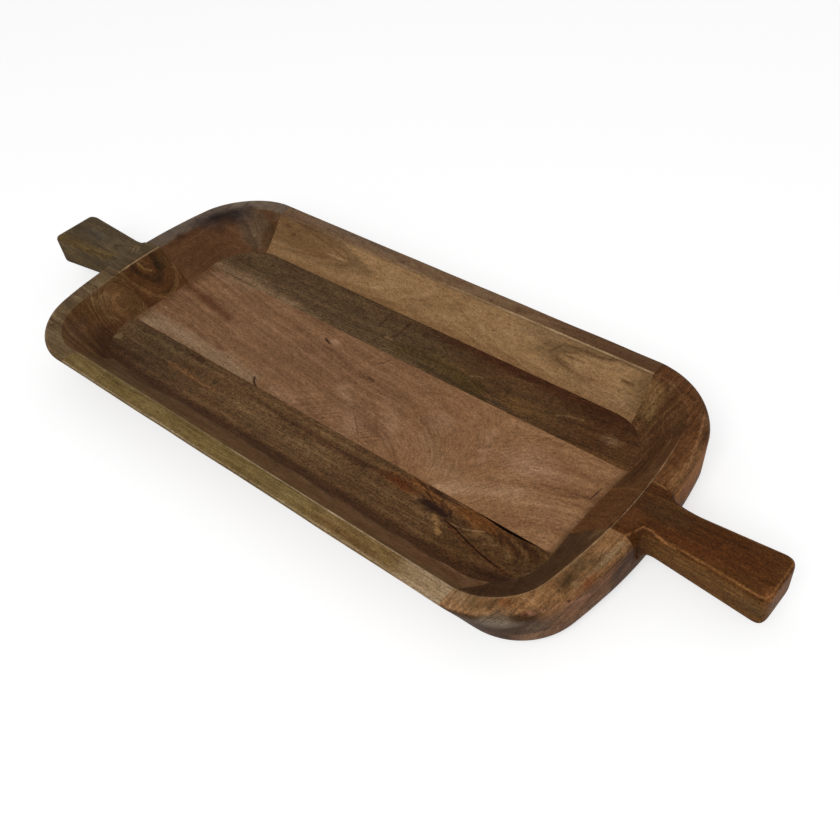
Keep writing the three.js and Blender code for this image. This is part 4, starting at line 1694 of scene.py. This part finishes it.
def deep_red_wood():
    wood = Wood("Deep red wood", 223.0, deep_red_figure)
    colours = (78, 44, 18), (104, 66, 31), (50, 28, 12)
    grow(wood, colours, band=5.0, line=1.8, contrast=0.45, grit=0.36, pores=0.35)
    tint(wood, past(wood, "Z", 50.0, 47.0) * past(wood, "X", 300, 312) * 0.9, (106, 70, 34))
    tint(wood, past(wood, "Z", 50.2, 47.0) * past(wood, "X", 292, 286) * 0.9, (99, 63, 33))
    stain(wood, (76, 51, 26), (308, 9, 51), (32, 14, 5), 0.75)
    stain(wood, (104, 62, 32), (291, -7, 51), (11, 15, 5), 0.55)
    stain(wood, (96, 50, 22), (335, -7, 51), (42, 6, 6), 0.55)
    stain(wood, (86, 45, 19), (370, 2, 51), (36, 12, 5), 0.5)
    stain(wood, (128, 78, 42), (403, -12, 49), (10, 11, 10), 0.85)
    stain(wood, (98, 60, 31), (398, 10, 51), (6, 9, 6), 0.6)
    stain(wood, (122, 72, 36), (404, 6, 38), (5, 22, 14), 0.8)
    streak(wood, (46, 26, 14), [(353, 3, 51), (354, 8, 51)], 1.3, 0.5)
    streak(wood, (112, 66, 32), [(318, -2, 51), (326, 1, 51), (328, 6, 51)], 1.5, 0.3)
    stain(wood, (92, 68, 38), (394, -18, 36), (14, 7, 8), 0.6)
    stain(wood, (58, 30, 14), (308, -20, 34), (9, 8, 16), 0.9)
    # painted highlight along the rounded edges where the bar leaves the end wall
    root_edge_highlight = [(297, -24, 50), (300.6, -17, 51), (303, -10.5, 51)]
    root_edge_highlight += [(309, -10.5, 50.8), (318, -12.5, 50), (334, -15.5, 49.5)]
    streak(wood, (164, 112, 66), root_edge_highlight, 1.3, 0.55, 0.5)
    seam_edge = [(285, 30, 51), (293, 29.5, 51), (301, 28.5, 50.5)]
    streak(wood, (160, 112, 70), seam_edge, 1.2, 0.6, 0.1)
    # pale edges, partly wear and partly painted highlight; the second is the bright strip on the
    # bar's rounded top edges towards the tip
    wear_and_highlight_arrises(wood, lip_side(wood) * 0.45)
    wear_and_highlight_arrises(wood, past(wood, "X", 318.0, 345.0) * 0.6, (134, 88, 48))
    return oiled(wood)


dress("handle_right", deep_red_wood())

# %% [markdown]
# ## Camera
#
# The photograph was taken from above the right-hand end, close enough for strong perspective.

# %% Camera
IMAGE_SIZE = 840
FOCAL_PIXELS = 1040.55
OPTICAL_CENTRE = (444.34, 415.05)  # pixels from the left and from the top
YAW, PITCH, ROLL = math.radians(46.1375), math.radians(43.489), math.radians(-8.3077)
DISTANCE = 829.46
TARGET = Vector((115.0 + BODY_SHIFT, -3.75, HEIGHT))
SENSOR = 36.0


def make_camera():
    back = Vector(
        (math.sin(YAW) * math.cos(PITCH), -math.cos(YAW) * math.cos(PITCH), math.sin(PITCH))
    )
    right = Vector((math.cos(YAW), math.sin(YAW), 0.0))
    up = back.cross(right)
    turned_right = right * math.cos(ROLL) + up * math.sin(ROLL)
    turned_up = up * math.cos(ROLL) - right * math.sin(ROLL)
    data = bpy.data.cameras.new("Camera")
    data.sensor_width = SENSOR
    data.lens = FOCAL_PIXELS / IMAGE_SIZE * SENSOR
    data.shift_x = (IMAGE_SIZE / 2 - OPTICAL_CENTRE[0]) / IMAGE_SIZE
    data.shift_y = (OPTICAL_CENTRE[1] - IMAGE_SIZE / 2) / IMAGE_SIZE
    camera = put_in_scene("Camera", data)
    turn = Matrix((turned_right, turned_up, back)).transposed().to_4x4()
    camera.matrix_world = Matrix.Translation((TARGET + back * DISTANCE) * MM) @ turn
    bpy.context.scene.camera = camera
    return camera


camera = make_camera()
print("camera at", [round(value, 3) for value in camera.matrix_world.translation])

# %% [markdown]
# ## Floor and light
#
# The photograph shows the tray on white with hardly any shadow. The floor is a grey card that
# scatters the light, made white only for what the camera sees straight: there a glow is added to
# the card, so the tray's soft shadow still shows. The light is an even sky and one large lamp
# that stands in front, both weak enough for a colour to render about as it is written.

# %% The floor
WHITE = (1.0, 1.0, 1.0)
FLOOR_SHARE = 0.6  # how much of the light the card scatters, and the strength of its glow
FLOOR_HALF = 6.0  # metres
FLOOR_HEIGHT = -0.0003  # a hair under the tray, so the two faces never fight


def seen_directly(tree):
    """1 for what the camera sees straight, in a reflection or through glass."""
    path = node(tree, "ShaderNodeLightPath")
    rays = [Field(path.outputs[f"Is {kind} Ray"]) for kind in ("Camera", "Glossy", "Transmission")]
    return rays[0].combine("MAXIMUM", rays[1]).combine("MAXIMUM", rays[2])


def floor_material():
    material = bpy.data.materials.new("Floor")
    material.use_nodes = True
    tree = material.node_tree
    tree.nodes.clear()
    output = tree.nodes.new("ShaderNodeOutputMaterial")
    paint = node(tree, "ShaderNodeBsdfDiffuse", {"Color": (FLOOR_SHARE,) * 3})
    glow = node(tree, "ShaderNodeEmission", {"Color": WHITE, "Strength": FLOOR_SHARE})
    lit, bright = Field(paint.outputs[0]), Field(glow.outputs[0])
    both = Field(node(tree, "ShaderNodeAddShader", {0: lit, 1: bright}).outputs[0])
    mix = node(tree, "ShaderNodeMixShader", {0: seen_directly(tree), 1: lit, 2: both})
    tree.links.new(mix.outputs[0], output.inputs["Surface"])
    return material


def make_floor():
    mesh = bpy.data.meshes.new("Floor")
    signs = ((-1, -1), (1, -1), (1, 1), (-1, 1))
    corners = [(x * FLOOR_HALF, y * FLOOR_HALF, FLOOR_HEIGHT) for x, y in signs]
    mesh.from_pydata(corners, [], [(0, 1, 2, 3)])
    mesh.materials.append(floor_material())
    floor = put_in_scene("Floor", mesh)
    return floor


print("floor:", make_floor().name)


# %% The sky and the lamp
SKY_STRENGTH = 0.48
KEY_PLACE, KEY_SIZE, KEY_POWER = (0.8, -1.5, 1.75), 1.2, 22.0  # metres and watts


def make_world():
    world = bpy.data.worlds.new("Studio")
    bpy.context.scene.world = world
    world.use_nodes = True
    tree = world.node_tree
    tree.nodes.clear()
    sky = node(tree, "ShaderNodeBackground", {"Color": WHITE, "Strength": SKY_STRENGTH})
    white = node(tree, "ShaderNodeBackground", {"Color": WHITE, "Strength": 1.0})
    looks = {0: seen_directly(tree), 1: Field(sky.outputs[0]), 2: Field(white.outputs[0])}
    pick = node(tree, "ShaderNodeMixShader", looks)
    output = tree.nodes.new("ShaderNodeOutputWorld")
    tree.links.new(pick.outputs[0], output.inputs["Surface"])


def softbox(name, place, size, power):
    data = bpy.data.lights.new(name, "AREA")
    data.shape = "SQUARE"
    data.size = size
    data.energy = power
    lamp = put_in_scene(name, data)
    lamp.location = place
    lamp.rotation_euler = (-Vector(place)).to_track_quat("-Z", "Y").to_euler()


make_world()
softbox("Key", KEY_PLACE, KEY_SIZE, KEY_POWER)
bpy.context.scene.view_settings.view_transform = "Standard"
print("sky", SKY_STRENGTH, "and one lamp of", KEY_POWER, "watts")

# %% [markdown]
# ## The size
#
# The dressed tray has to keep the size of the measured one.
